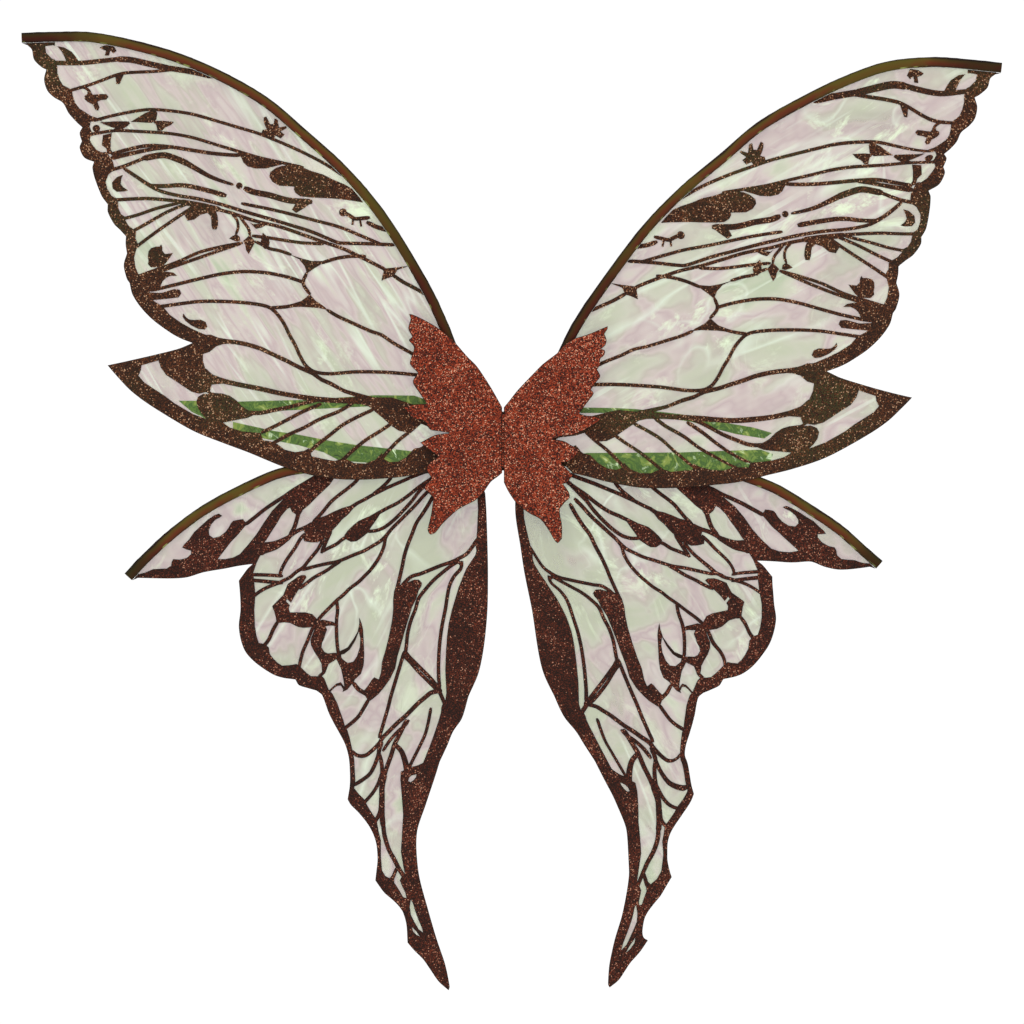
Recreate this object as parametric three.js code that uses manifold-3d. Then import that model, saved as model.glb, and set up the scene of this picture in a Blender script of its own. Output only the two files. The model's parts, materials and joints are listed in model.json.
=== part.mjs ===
// Fairy wings worn on the back: four film wings on bent wire spars, each pinned to a root
// plate, two root plates folding on a hinge strip, a padded back plate and two arm loops.
// Millimetres. X to the right seen from the decorated side, Z up, +Y towards the wearer.
// The back pad's face is y = 0 and the crease between the two halves is x = 0.
import * as THREE from "three";
import Module from "manifold-3d";

// Overall sizes
const WING_SPAN = 884;
const WING_HEIGHT = 861;
const DRAWN_SPAN = 884;
const DRAWN_HEIGHT = 861;

// Sheet and wire sizes
const FILM_THICK = 0.4;
const VEIN_THICK = 0.6;
const WIRE_D = 3;
const SLEEVE_WIDE = 9;
const SLEEVE_THICK = 4.6;
const COVER_THICK = 2;
const PAD_THICK = 10;
const SPINE_THICK = 3;
const PLATE_THICK = 3;

// Pins and rings
const PIN_D = 3.6;
const PIN_HEAD_D = 9;
const PIN_HEAD_THICK = 0.9;
const SPACER_D = 10;

// Clearances
const PLATE_GAP = 0.3;
const LAYER_GAP = 0.5;
const TURN_GAP = 0.3;
const WIRE_GAP = 0.35;
const SLEEVE_GAP = 0.3;
const CREASE_GAP = 1.3;

// Hinge strip and arm loops
const STRIP_THICK = 2;
const STRAP_WIDE = 25;
const STRAP_THICK = 1.5;
const STRAP_DEPTH = 116;
const STRAP_OUT = 32;
const PATCH_THICK = 1.2;

// Places along Y, from the pad's face forwards
const LAYER_THICK = FILM_THICK + SLEEVE_THICK + PIN_HEAD_THICK - 0.1;
const SPINE_BACK = -PAD_THICK;
const SPINE_FRONT = SPINE_BACK - SPINE_THICK;
const PLATE_BACK = SPINE_FRONT - PLATE_GAP;
const PLATE_FRONT = PLATE_BACK - PLATE_THICK;
const LAYER_BACK = {
  lower: PLATE_FRONT - PLATE_GAP,
  upper: PLATE_FRONT - PLATE_GAP - LAYER_THICK - LAYER_GAP,
};
const COVER_BACK = LAYER_BACK.upper - LAYER_THICK - PLATE_GAP;
const COVER_FRONT = COVER_BACK - COVER_THICK;

// Each half's pins, out from the crease and up from its middle
const PIN = { upper: [28, 40], lower: [28, -6] };

// The right-hand wings were cut and hung by hand: where points of the left-hand ones come
const MATCH = {
  upper: [
    [434, 364.5, 449.5, 337.5], [411, 336, 424.5, 311], [378.5, 284, 397, 260],
    [368, 253, 383, 227], [346.5, 218.7, 368, 188], [339.3, 186, 356, 159],
    [336, 144, 351, 117], [279.5, 90, 291.5, 64.5], [355.7, 70, 368, 41], [300, 23, 314, -1],
    [252, 0, 262, -23], [180, -27, 188, -38], [126, -33, 126, -40.5], [65, -27, 63, -27.5],
    [120, 36, 122, 23], [81, 79.6, 88, 71], [170, 64, 180, 47.5], [237, 231, 254, 206],
    [179, 146, 192.6, 123.3], [72, 135.5, 80.5, 120], [100, 178, 115, 163.5],
    [200, 297.5, 218.5, 276.5], [270, 338, 288, 317], [330, 357.5, 346, 339],
    [370, 365.5, 386, 343.3], [54.5, 108, 63, 99.5], [28, 40, 31, 34], [40, -6, 40, -10],
  ],
  lower: [
    [339.5, -123, 341, -111.5], [300, -122, 302, -114], [226, -109.5, 229.5, -106.5],
    [254, -64.5, 253, -57], [238, -124, 242.7, -120.5], [238, -165, 246, -158],
    [216, -203, 225, -201], [190, -212, 201, -211.5], [168, -223, 180.5, -225],
    [147, -262, 168, -262], [138, -295, 166.5, -289], [140, -321, 172, -316],
    [115, -394, 152, -391], [86, -450, 130.5, -448], [48.5, -492.5, 95.5, -490],
    [64, -434, 106, -431], [75.5, -390, 113.5, -388], [66, -315, 98.5, -317],
    [57, -287, 83, -287], [31, -228, 46, -227.5], [14, -150, 26, -150], [14, -90, 15.5, -92],
    [16, -45, 11, -52], [57, -222, 75, -234], [88, -189, 103, -196.5], [104, -83, 105, -91],
    [180, -113, 191, -117.5], [129.5, -158, 141, -163], [131, -54, 132.4, -59],
    [240, -44.3, 243, -40], [270, -61, 273, -57.7], [300, -83.5, 303, -78],
    [150, -22, 150, -25], [90, -19, 90, -23], [28, -6, 27, -9],
  ],
};

// Spar centre lines, tip to pin
const SPAR = {
  upper: [
    [433, 364.5], [400, 365.5], [370, 365], [330, 357.3], [290, 345.5], [250, 328],
    [212, 305.5], [180, 278.3], [150.5, 252], [130, 230.5], [110, 205.5], [90, 175],
    [67, 135], [54.5, 108], [46.5, 88], [38, 64], [29.4, 43.4],
  ],
  lower: [
    [337.5, -120.5], [325, -107], [300, -83.5], [270, -61], [240, -44.3], [205, -28.5],
    [180, -23], [150, -22], [120, -23], [90, -19], [62, -13], [44, -10], [31.7, -6.8],
  ],
};
const SLEEVE_END = { upper: 0.955, lower: 0.965 };
const SPAR_STEPS = { upper: 34, lower: 22 };

// Free edges, tip to root, as smooth runs that meet in points
const FREE_EDGE = {
  upper: [
    [[428, 358], [423, 347], [411, 336]],
    [[411, 336], [413, 327], [399, 304], [378.5, 284]],
    [[378.5, 284], [381, 278], [379, 271.5]],
    [[379, 271.5], [381, 265], [377, 257], [368, 253]],
    [[368, 253], [367, 234], [355.7, 214.8]],
    [[355.7, 214.8], [355, 206], [339.3, 186]],
    [[339.3, 186], [339.5, 178], [338.4, 170.6]],
    [[338.4, 170.6], [341.3, 160], [336, 144]],
    [[336, 144], [315.3, 111], [279.5, 90]],
    [[279.5, 90], [313, 79.5], [355.8, 69.9]],
    [[355.8, 69.9], [300, 23], [252, 0], [199, -21], [149, -32.5], [108, -32], [65, -27]],
    [[65, -27], [48, -6], [40, 18], [39, 40]],
  ],
  lower: [
    [[329, -121.5], [300, -122], [268, -116], [226, -109.5]],
    [[226, -109.5], [232, -115], [238, -124]],
    [[238, -124], [238, -165], [216, -203], [187, -213]],
    [[187, -213], [181, -220], [168, -223]],
    [[168, -223], [147, -262], [138, -295], [140, -321]],
    [[140, -321], [117, -352], [115, -394]],
    [[115, -394], [94, -417], [86, -450]],
    [[86, -450], [65, -475], [48, -493]],
    [[48, -493], [60, -446], [78, -370], [66, -315], [57, -287]],
    [[57, -287], [35, -236], [16, -170], [13.5, -110], [16, -45]],
    [[16, -45], [24, -28], [40, -20]],
  ],
};

// Openings cut in the vein sheets, and the veins left across them
const FIELDS = {
  upper: [
    [
      [430, 420], [405, 352], [400, 336], [396, 322], [384, 305], [369, 291], [362, 268],
      [357, 240], [347, 219], [340, 203], [331, 188], [331, 163], [318, 140], [304, 118],
      [285, 105], [262, 96], [230, 89], [195, 74], [164, 58], [132, 44], [96, 42],
      [64, 40], [40, 90], [60, 190], [200, 380],
    ],
    [[266, 82], [230, 84], [184, 64], [150, 48], [122, 42], [184, 44], [239, 55], [262, 62]],
    [
      [325, 70], [311, 73], [302, 61], [280, 46], [252, 53], [201, 42], [150, 35], [110, 30],
      [94, 12], [70, 20], [64, -5], [87, -12], [110, -10], [140, -15], [175, -5], [216, 5],
      [240, 11], [266, 21], [304, 43],
    ],
  ],
  lower: [
    [
      [345, -95], [322, -115], [300, -111], [281, -98], [288, -93], [272, -75], [256, -64],
      [232, -73], [200, -48], [160, -28], [120, -10], [200, 0],
    ],
    [
      [151, -30], [180, -60], [199, -88], [217, -93], [223, -120], [224, -165], [211, -184],
      [203, -198], [183, -200], [164, -209], [153, -227], [142, -256], [134, -285],
      [133, -308], [117, -335], [108, -360], [108, -388], [101, -388], [90, -406],
      [88, -392], [91, -350], [92, -300], [84, -293], [72, -288], [56, -240], [52, -215],
      [46, -150], [36, -120], [25, -100], [23, -60], [36, -32], [36, 0], [100, 0],
    ],
  ],
};
const VEINS = {
  upper: [
    { wide: 3, line: [[405, 342], [340, 345], [300, 337], [250, 326]] },
    { wide: 2.6, line: [[372, 290], [320, 300], [260, 291], [200, 271], [140, 238]] },
    { wide: 3, line: [[365, 246], [321, 257], [270, 244], [205, 236], [120, 214]] },
    { wide: 2.6, line: [[352, 219], [302, 219], [244, 207], [162, 181], [104, 155], [68, 136]] },
    { wide: 2.6, line: [[335, 180], [310, 204], [283, 216]] },
    { wide: 3, line: [[330, 151], [292, 162], [234, 180], [181, 181], [96, 178]] },
    { wide: 2.6, line: [[316, 122], [250, 127], [209, 121], [187, 88], [165, 63], [60, 60]] },
    { wide: 2.6, line: [[209, 121], [176, 133], [120, 101], [72, 75]] },
    { wide: 3, line: [[170, 42], [203, 16], [225, -3]] },
    { wide: 3, line: [[128, 36], [165, 21], [212, -10]] },
    { wide: 3, line: [[103, 24], [124, 2], [150, -20]] },
    { wide: 3, line: [[72, 22], [94, 2], [112, -20]] },
  ],
  lower: [
    { wide: 9, line: [[135, -57], [165, -76], [222, -100]] },
    { wide: 2.8, line: [[70, -27], [100, -39], [137, -57]] },
    { wide: 3, line: [[175, -80], [201, -119], [228, -119]] },
    { wide: 3, line: [[163, -88], [180, -112], [200, -125], [228, -140]] },
    { wide: 2.8, line: [[50, -38], [100, -77], [140, -103], [180, -114]] },
    { wide: 2.8, line: [[103, -81], [120, -115], [168, -160], [184, -206]] },
    { wide: 12, line: [[182, -121], [201, -150], [175, -160]] },
    { wide: 2.8, line: [[203, -158], [218, -190]] },
    { wide: 3, line: [[150, -143], [149, -190], [145, -235]] },
    { wide: 9, line: [[131, -180], [132, -205], [146, -232]] },
    { wide: 12, line: [[84, -128], [92, -160], [104, -205], [122, -228]] },
    { wide: 2.8, line: [[122, -228], [145, -262]] },
    { wide: 2.8, line: [[45, -46], [80, -80], [92, -130]] },
    { wide: 3, line: [[20, -86], [46, -107], [92, -129]] },
    { wide: 3, line: [[30, -104], [68, -131], [88, -188], [52, -224]] },
    { wide: 3, line: [[58, -222], [110, -268], [132, -283], [142, -270]] },
    { wide: 3, line: [[88, -188], [112, -270], [108, -340], [90, -392]] },
    { wide: 3, line: [[66, -240], [84, -300]] },
  ],
};

// Scalloped covers over the wing roots, from the crease's top round to its foot
const COVER = {
  left: [
    [[CREASE_GAP, 33], [24, 69.5], [54, 100], [84.6, 116]],
    [[84.6, 116], [85, 103], [81, 95]],
    [[81, 95], [84.6, 91], [80, 78]],
    [[80, 78], [83.5, 71], [76, 63]],
    [[76, 63], [81, 55], [68.4, 35]],
    [[68.4, 35], [90, 32], [68, 13], [47.8, 9]],
    [[47.8, 9], [74.3, 1], [58, -12.3]],
    [[58, -12.3], [69, -23], [64, -32]],
    [[64, -32], [71.3, -39.5], [62.5, -49]],
    [[62.5, -49], [67.7, -78], [61, -81], [40.4, -60], [18.3, -45.4], [CREASE_GAP, -28]],
  ],
  right: [
    [[CREASE_GAP, 33], [28, 63], [54, 87], [94, 105]],
    [[94, 105], [92.5, 91], [88, 84.5]],
    [[88, 84.5], [91.5, 80], [84.5, 66]],
    [[84.5, 66], [87, 60], [79, 48]],
    [[79, 48], [81.5, 44], [68.5, 26.5]],
    [[68.5, 26.5], [88.5, 22], [64, 7.5], [44, 3.5]],
    [[44, 3.5], [69, -6], [52, -17.5]],
    [[52, -17.5], [63, -29], [54, -37]],
    [[54, -37], [60, -49], [51.5, -58]],
    [[51.5, -58], [53, -86], [47, -88], [26, -64.5], [5, -44], [CREASE_GAP, -30]],
  ],
};
const CREASE = { top: (26 * WING_HEIGHT) / DRAWN_HEIGHT, foot: (-22 * WING_HEIGHT) / DRAWN_HEIGHT };

// Half of the back plate's outline, out from the crease
const BACK_HALF = [[0, 27], [14, 43], [26, 55], [43, 57], [45, 40], [40, 3], [46, -24],
  [42, -49], [26, -46], [12, -32], [0, -24]];

// One arm loop seen from the side: out from the pad's face and up
const STRAP_LOOP = [[0, 42], [4, 50], [20, 55], [60, 52], [100, 33], [116, 6], [103, -20],
  [60, -38], [20, -43], [4, -39], [0, -31]];
const STRAP_TAIL = 13;

const wasm = await Module();
wasm.setup();

const SIDES = ["left", "right"];
const LEVELS = ["upper", "lower"];

function finish(color, roughness, metalness = 0) {
  return () => new THREE.MeshStandardMaterial({ color, roughness, metalness });
}

const MATERIAL = {
  film: finish("#d9d3de", 0.25),
  veins: finish("#4b2a20", 0.7),
  sleeve: finish("#5a3c19", 0.5),
  wire: finish("#7a7a7c", 0.35, 1),
  cover: finish("#96402a", 0.6),
  plate: finish("#3a2a24", 0.6),
  pad: finish("#3b2a26", 0.9),
  strap: finish("#2c2320", 0.85),
  strip: finish("#33241f", 0.85),
  brass: finish("#b08a4a", 0.35, 1),
};

const group = new THREE.Group();

function addMesh(name, geometry, material) {
  const mesh = new THREE.Mesh(geometry, material());
  mesh.name = name;
  group.add(mesh);
}

// A drawn point at the overall sizes, still as out from the crease and up
function sized([out, up]) {
  return [(out * WING_SPAN) / DRAWN_SPAN, (up * WING_HEIGHT) / DRAWN_HEIGHT];
}

function nearness([x, y], [u, v]) {
  const d = Math.hypot(x - u, y - v) / 100;
  return d > 0 ? d * d * Math.log(d) : 0;
}

// Solves a square set of linear equations, each row ending in its right-hand side
function solved(rows) {
  rows.forEach((_, i) => {
    const best = rows.slice(i).reduce((a, b) => (Math.abs(b[i]) > Math.abs(a[i]) ? b : a));
    const at = rows.indexOf(best);
    [rows[i], rows[at]] = [rows[at], rows[i]];
    for (let j = 0; j < rows.length; j++) {
      const share = j === i ? 0 : rows[j][i] / rows[i][i];
      if (share) rows[j] = rows[j].map((v, k) => v - share * rows[i][k]);
    }
  });
  return rows.map((row, i) => row.at(-1) / row[i]);
}

// A thin plate bent through the matched points, for how far each point moves along one axis
function bentPlate(pairs, axis) {
  const from = pairs.map(([x, y]) => [x, y]);
  const flat = from.map(([x, y]) => [1, x / 100, y / 100]);
  const rows = from.map((p, i) => [
    ...from.map((q) => nearness(p, q)), ...flat[i], pairs[i][axis + 2] - p[axis],
  ]);
  for (const k of [0, 1, 2]) rows.push([...flat.map((f) => f[k]), 0, 0, 0, 0]);
  const found = solved(rows);
  const [a, b, c] = found.slice(-3);
  return (p) =>
    from.reduce((sum, q, i) => sum + found[i] * nearness(p, q), a + (b * p[0] + c * p[1]) / 100);
}

const SHIFT = {
  upper: [bentPlate(MATCH.upper, 0), bentPlate(MATCH.upper, 1)],
  lower: [bentPlate(MATCH.lower, 0), bentPlate(MATCH.lower, 1)],
};

// A drawn point put on its side at the overall sizes
function place(side, level, point) {
  if (side === "left") {
    const [out, up] = sized(point);
    return [-out, up];
  }
  return sized(point.map((v, axis) => v + SHIFT[level][axis](point)));
}

function shapeOf(points) {
  return new THREE.Shape(points.map(([x, z]) => new THREE.Vector2(x, z)));
}

function ring(radius, count) {
  return Array.from({ length: count }, (_, i) => {
    const angle = (2 * Math.PI * i) / count;
    return new THREE.Vector2(radius * Math.cos(angle), radius * Math.sin(angle));
  });
}

// A flat sheet in the wings' plane, from its back face forwards
function sheet(shape, back, thick) {
  const geometry = new THREE.ExtrudeGeometry(shape, { depth: thick, bevelEnabled: false });
  return geometry.rotateX(Math.PI / 2).translate(0, back, 0);
}

// Smooth runs joined into one outline, each run giving `parts` points for every one drawn
function smooth(runs, parts = 2) {
  return runs.flatMap((run) => {
    const curve = new THREE.SplineCurve(run.map(([x, z]) => new THREE.Vector2(x, z)));
    const count = (run.length - 1) * parts;
    return Array.from({ length: count }, (_, i) => curve.getPoint(i / count).toArray());
  });
}

// A line beside the spar, `off` towards the free edge, from its tip to where the sleeve ends
function besideSpar(side, level, off) {
  const line = SPAR[level].map((p) => new THREE.Vector2(...place(side, level, p)));
  const curve = new THREE.SplineCurve(line);
  const steps = SPAR_STEPS[level];
  const first = off > SLEEVE_WIDE / 2 ? 1 : 0;
  const inward = side === "left" ? -off : off;
  return Array.from({ length: steps + 1 - first }, (_, i) => {
    const t = ((i + first) / steps) * SLEEVE_END[level];
    const at = curve.getPointAt(t);
    const along = curve.getTangentAt(t);
    return [at.x - along.y * inward, at.y + along.x * inward];
  });
}

function wingOutline(side, level, off) {
  const edge = smooth(FREE_EDGE[level]);
  const root = FREE_EDGE[level].at(-1).at(-1);
  const beside = besideSpar(side, level, off).reverse();
  return [...[...edge, root].map((p) => place(side, level, p)), ...beside];
}

function solidOf(geometry) {
  const flat = geometry.index ? geometry.toNonIndexed() : geometry;
  const found = new Map();
  const verts = [];
  const at = flat.getAttribute("position");
  const triVerts = new Uint32Array(at.count);
  for (let i = 0; i < at.count; i++) {
    const p = [at.getX(i), at.getY(i), at.getZ(i)];
    const key = p.map((v) => Math.round(v * 1000)).join();
    if (!found.has(key)) {
      found.set(key, found.size);
      verts.push(...p);
    }
    triVerts[i] = found.get(key);
  }
  const mesh = { numProp: 3, vertProperties: new Float32Array(verts), triVerts };
  return new wasm.Manifold(new wasm.Mesh(mesh));
}

function geometryOf(solid) {
  const { vertProperties, triVerts } = solid.getMesh();
  const geometry = new THREE.BufferGeometry();
  geometry.setAttribute("position", new THREE.BufferAttribute(vertProperties, 3));
  geometry.setIndex(new THREE.BufferAttribute(triVerts, 1));
  geometry.computeVertexNormals();
  return geometry;
}

// A line given width, as an outline
function ribbon(points, wide) {
  const sides = [[], []];
  points.forEach(([x, z], i) => {
    const [ax, az] = points[Math.max(i - 1, 0)];
    const [bx, bz] = points[Math.min(i + 1, points.length - 1)];
    const long = Math.hypot(bx - ax, bz - az);
    const dx = ((az - bz) / long) * (wide / 2);
    const dz = ((bx - ax) / long) * (wide / 2);
    sides[0].push([x + dx, z + dz]);
    sides[1].unshift([x - dx, z - dz]);
  });
  return sides.flat();
}

function addFilm(side, level) {
  const outline = wingOutline(side, level, 0.3 - SLEEVE_WIDE / 2);
  const geometry = sheet(shapeOf(outline), LAYER_BACK[level], FILM_THICK);
  addMesh(`${level}_film_${side}`, geometry, MATERIAL.film);
}

function addVeins(side, level) {
  const back = LAYER_BACK[level] - FILM_THICK;
  const layer = (points) => solidOf(sheet(shapeOf(points), back, VEIN_THICK));
  const whole = layer(wingOutline(side, level, SLEEVE_WIDE / 2 + SLEEVE_GAP));
  let solid = whole;
  for (const field of FIELDS[level]) {
    solid = solid.subtract(layer(field.map((p) => place(side, level, p))));
  }
  for (const { wide, line } of VEINS[level]) {
    const placed = smooth([line]).concat([line.at(-1)]).map((p) => place(side, level, p));
    solid = solid.add(layer(ribbon(placed, wide)).intersect(whole));
  }
  addMesh(`${level}_veins_${side}`, geometryOf(solid), MATERIAL.veins);
}

// The spar's centre line in space
function sparPath(side, level) {
  const y = LAYER_BACK[level] - FILM_THICK - SLEEVE_THICK / 2;
  const placed = SPAR[level].map((p) => place(side, level, p));
  return placed.map(([x, z]) => new THREE.Vector3(x, y, z));
}

// Points along part of a spar, sampled on its smooth line
function sparCurve(side, level, from, to) {
  const curve = new THREE.CatmullRomCurve3(sparPath(side, level));
  const count = SPAR_STEPS[level];
  const points = Array.from({ length: count + 1 }, (_, i) =>
    curve.getPointAt(from + ((to - from) * i) / count),
  );
  return new THREE.CatmullRomCurve3(points);
}

function addSleeve(side, level) {
  const t = SLEEVE_THICK / 2;
  const w = SLEEVE_WIDE / 2;
  const section = new THREE.Shape();
  section.moveTo(-t, -w + 0.4);
  section.lineTo(-t, w - 0.4);
  section.lineTo(-t + 1, w);
  section.lineTo(t - 1.6, w - 0.9);
  section.lineTo(t, w - 3);
  section.lineTo(t, -w + 3);
  section.lineTo(t - 1.6, -w + 0.9);
  section.lineTo(-t + 1, -w);
  section.closePath();
  section.holes.push(new THREE.Path(ring(WIRE_D / 2 + WIRE_GAP, 8)));
  const path = sparCurve(side, level, 0, SLEEVE_END[level]);
  const geometry = new THREE.ExtrudeGeometry(section, {
    steps: SPAR_STEPS[level],
    extrudePath: path,
  });
  addMesh(`${level}_sleeve_${side}`, geometry, MATERIAL.sleeve);
}

// The wire, with its root end bent to an eye round the pin
function addSpar(side, level) {
  const section = new THREE.Shape(ring(WIRE_D / 2, 8));
  const wire = new THREE.ExtrudeGeometry(section, {
    steps: SPAR_STEPS[level],
    extrudePath: sparCurve(side, level, 0.008, 1),
  });
  const eyeRadius = PIN_D / 2 + TURN_GAP + WIRE_D / 2;
  const eye = new THREE.TorusGeometry(eyeRadius, WIRE_D / 2, 8, 16);
  const [x, z] = place(side, level, PIN[level]);
  const y = sparPath(side, level)[0].y;
  eye.rotateX(Math.PI / 2).translate(x, y, z);
  const solid = solidOf(wire).add(solidOf(eye));
  addMesh(`${level}_spar_${side}`, geometryOf(solid), MATERIAL.wire);
}

function turned(profile, segments = 16) {
  const points = profile.map(([r, y]) => new THREE.Vector2(r, y));
  return new THREE.LatheGeometry(points, segments);
}

// The pin through the root plate and the wire's eye, and the spacer that sets its depth
function addPin(side, level) {
  const [x, z] = place(side, level, PIN[level]);
  const eyeY = sparPath(side, level)[0].y;
  const headBack = eyeY - WIRE_D / 2 - TURN_GAP;
  const headFront = headBack - PIN_HEAD_THICK;
  const r = PIN_D / 2;
  const head = PIN_HEAD_D / 2;
  const pin = turned([
    [0, headFront], [head - 0.4, headFront], [head, headBack], [r, headBack],
    [r, PLATE_BACK], [0, PLATE_BACK],
  ]);
  addMesh(`${level}_pin_${side}`, pin.translate(x, 0, z), MATERIAL.brass);
  const spacerFront = eyeY + WIRE_D / 2 + TURN_GAP;
  const spacer = turned([
    [r + TURN_GAP, spacerFront], [SPACER_D / 2, spacerFront], [SPACER_D / 2, PLATE_FRONT],
    [r + TURN_GAP, PLATE_FRONT], [r + TURN_GAP, spacerFront],
  ]);
  addMesh(`${level}_spacer_${side}`, spacer.translate(x, 0, z), MATERIAL.plate);
}

function sideX(side, out) {
  return side === "left" ? -out : out;
}

// The plate that carries both pins of one half
function addRootPlate(side) {
  const edge = 8;
  const [ux, uz] = place(side, "upper", PIN.upper).map((v, i) => (i ? v : Math.abs(v)));
  const [lx, lz] = place(side, "lower", PIN.lower).map((v, i) => (i ? v : Math.abs(v)));
  const outline = [
    [CREASE_GAP, CREASE.top], [ux - 4, uz + edge], [ux + edge, uz + edge],
    [ux + edge, uz - edge], [lx + edge, lz - edge], [lx - edge / 2, lz - edge],
    [CREASE_GAP, CREASE.foot],
  ].map(([out, z]) => [sideX(side, out), z]);
  const shape = shapeOf(outline);
  for (const [out, z] of [[ux, uz], [lx, lz]]) {
    const centre = new THREE.Vector2(sideX(side, out), z);
    shape.holes.push(new THREE.Path(ring(PIN_D / 2 + TURN_GAP, 16).map((p) => p.add(centre))));
  }
  addMesh(`root_plate_${side}`, sheet(shape, PLATE_BACK, PLATE_THICK), MATERIAL.plate);
}

// The block that holds the cover off the root plate, beside the crease
function addRootBlock(side) {
  const near = sideX(side, CREASE_GAP + 0.7);
  const far = sideX(side, 12);
  const shape = shapeOf([
    [near, CREASE.foot + 2], [far, CREASE.foot + 4], [far, CREASE.top], [near, CREASE.top],
  ]);
  const deep = PLATE_FRONT - COVER_BACK;
  addMesh(`root_block_${side}`, sheet(shape, PLATE_FRONT, deep), MATERIAL.plate);
}

function addCover(side) {
  const foot = COVER[side].at(-1).at(-1);
  const outline = [...smooth(COVER[side]), foot].map((p) => {
    const [out, up] = sized(p);
    return [sideX(side, out), up];
  });
  addMesh(`cover_${side}`, sheet(shapeOf(outline), COVER_BACK, COVER_THICK), MATERIAL.cover);
}

// The back plate, its pad and the strip the two halves fold on
function addBack() {
  const half = BACK_HALF.map(sized);
  const mirrored = half.slice(1, -1).map(([out, z]) => [-out, z]);
  const outline = [...half, ...mirrored.reverse()];
  addMesh("spine_plate", sheet(shapeOf(outline), SPINE_BACK, SPINE_THICK), MATERIAL.plate);
  addMesh("back_pad", sheet(shapeOf(outline), 0, PAD_THICK), MATERIAL.pad);
  const strip = shapeOf([
    [-STRIP_THICK / 2, CREASE.foot], [STRIP_THICK / 2, CREASE.foot],
    [STRIP_THICK / 2, CREASE.top], [-STRIP_THICK / 2, CREASE.top],
  ]);
  const deep = SPINE_FRONT - COVER_FRONT - 0.3;
  addMesh("hinge_strip", sheet(strip, SPINE_FRONT, deep), MATERIAL.strip);
}

// One arm loop, its ends flat on the pad's face under two sewn patches
function addStrap(side) {
  const deep = STRAP_DEPTH / Math.max(...STRAP_LOOP.map(([y]) => y));
  const loop = STRAP_LOOP.map(([y, z]) => [y * deep + STRAP_THICK / 2, z]);
  const [first, last] = [loop[0], loop.at(-1)];
  const path = [
    [first[0], first[1] - STRAP_TAIL],
    ...smooth([loop], 3),
    last,
    [last[0], last[1] + STRAP_TAIL],
  ];
  const geometry = new THREE.ExtrudeGeometry(shapeOf(ribbon(path, STRAP_THICK)), {
    depth: STRAP_WIDE,
    bevelEnabled: false,
  });
  const sideways = new THREE.Matrix4().makeBasis(
    new THREE.Vector3(0, 1, 0), new THREE.Vector3(0, 0, 1), new THREE.Vector3(1, 0, 0),
  );
  const middle = sideX(side, STRAP_OUT);
  geometry.applyMatrix4(sideways).translate(middle - STRAP_WIDE / 2, 0, 0);
  addMesh(`strap_${side}`, geometry, MATERIAL.strap);
  for (const [name, z] of [["top", first[1] - 7], ["foot", last[1] + 7]]) {
    const patch = new THREE.BoxGeometry(STRAP_WIDE - 3, PATCH_THICK, 10);
    patch.translate(middle, STRAP_THICK + PATCH_THICK / 2, z);
    addMesh(`strap_patch_${name}_${side}`, patch, MATERIAL.plate);
  }
}

addBack();
for (const side of SIDES) {
  addRootPlate(side);
  addRootBlock(side);
  addCover(side);
  addStrap(side);
  for (const level of LEVELS) {
    addFilm(side, level);
    addVeins(side, level);
    addSleeve(side, level);
    addSpar(side, level);
    addPin(side, level);
  }
}

export default group;
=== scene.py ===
# %% [markdown]
# # Fairy wings in film, glitter and wire
# A pair of costume wings is a flat thing made of very few materials: clear iridescent film,
# a cut sheet of glitter fabric on top of it for the veins, a bent wire in a casing along each
# leading edge, and a scalloped cover where the wings meet. What makes it look real is the cut
# of the veins, the creases in the film and the flakes of glitter, so those get the most work.
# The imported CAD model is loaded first. It fixes every size, place and joint.

# %% Load the frame
import json
import math

import bpy
import numpy as np
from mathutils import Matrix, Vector, noise
from mathutils.geometry import delaunay_2d_cdt

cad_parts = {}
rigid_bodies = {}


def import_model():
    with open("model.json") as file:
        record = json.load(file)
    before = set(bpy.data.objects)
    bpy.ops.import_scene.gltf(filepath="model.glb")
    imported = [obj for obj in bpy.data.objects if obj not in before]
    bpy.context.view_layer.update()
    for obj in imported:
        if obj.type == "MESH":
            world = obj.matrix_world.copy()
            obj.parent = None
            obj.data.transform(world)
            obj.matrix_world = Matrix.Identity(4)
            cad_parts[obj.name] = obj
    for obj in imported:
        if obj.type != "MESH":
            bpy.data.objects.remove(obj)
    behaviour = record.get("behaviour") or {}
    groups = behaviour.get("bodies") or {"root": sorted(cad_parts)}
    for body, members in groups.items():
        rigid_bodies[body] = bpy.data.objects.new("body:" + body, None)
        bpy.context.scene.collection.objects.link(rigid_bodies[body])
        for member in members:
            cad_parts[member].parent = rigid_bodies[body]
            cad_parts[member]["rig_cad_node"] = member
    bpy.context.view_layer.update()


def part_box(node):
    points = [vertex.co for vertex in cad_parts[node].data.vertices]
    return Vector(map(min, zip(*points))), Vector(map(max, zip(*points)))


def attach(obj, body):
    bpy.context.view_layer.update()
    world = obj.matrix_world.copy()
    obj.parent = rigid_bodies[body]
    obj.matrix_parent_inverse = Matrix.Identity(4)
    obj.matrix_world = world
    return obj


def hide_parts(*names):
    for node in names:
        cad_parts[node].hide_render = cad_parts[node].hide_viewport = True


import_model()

MM = 0.001
SIDES = ("left", "right")
LEVELS = ("upper", "lower")

# %% [markdown]
# ## Camera, light and floor
# The wings are seen square on from a long way off, so their plane keeps its true shape. A
# bright, even white room lights them the way a light tent does, and one large soft lamp on
# each side gives the flakes and the film something to glint in. The floor lies well below,
# because the wings hang at the height of a wearer's back.

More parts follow.
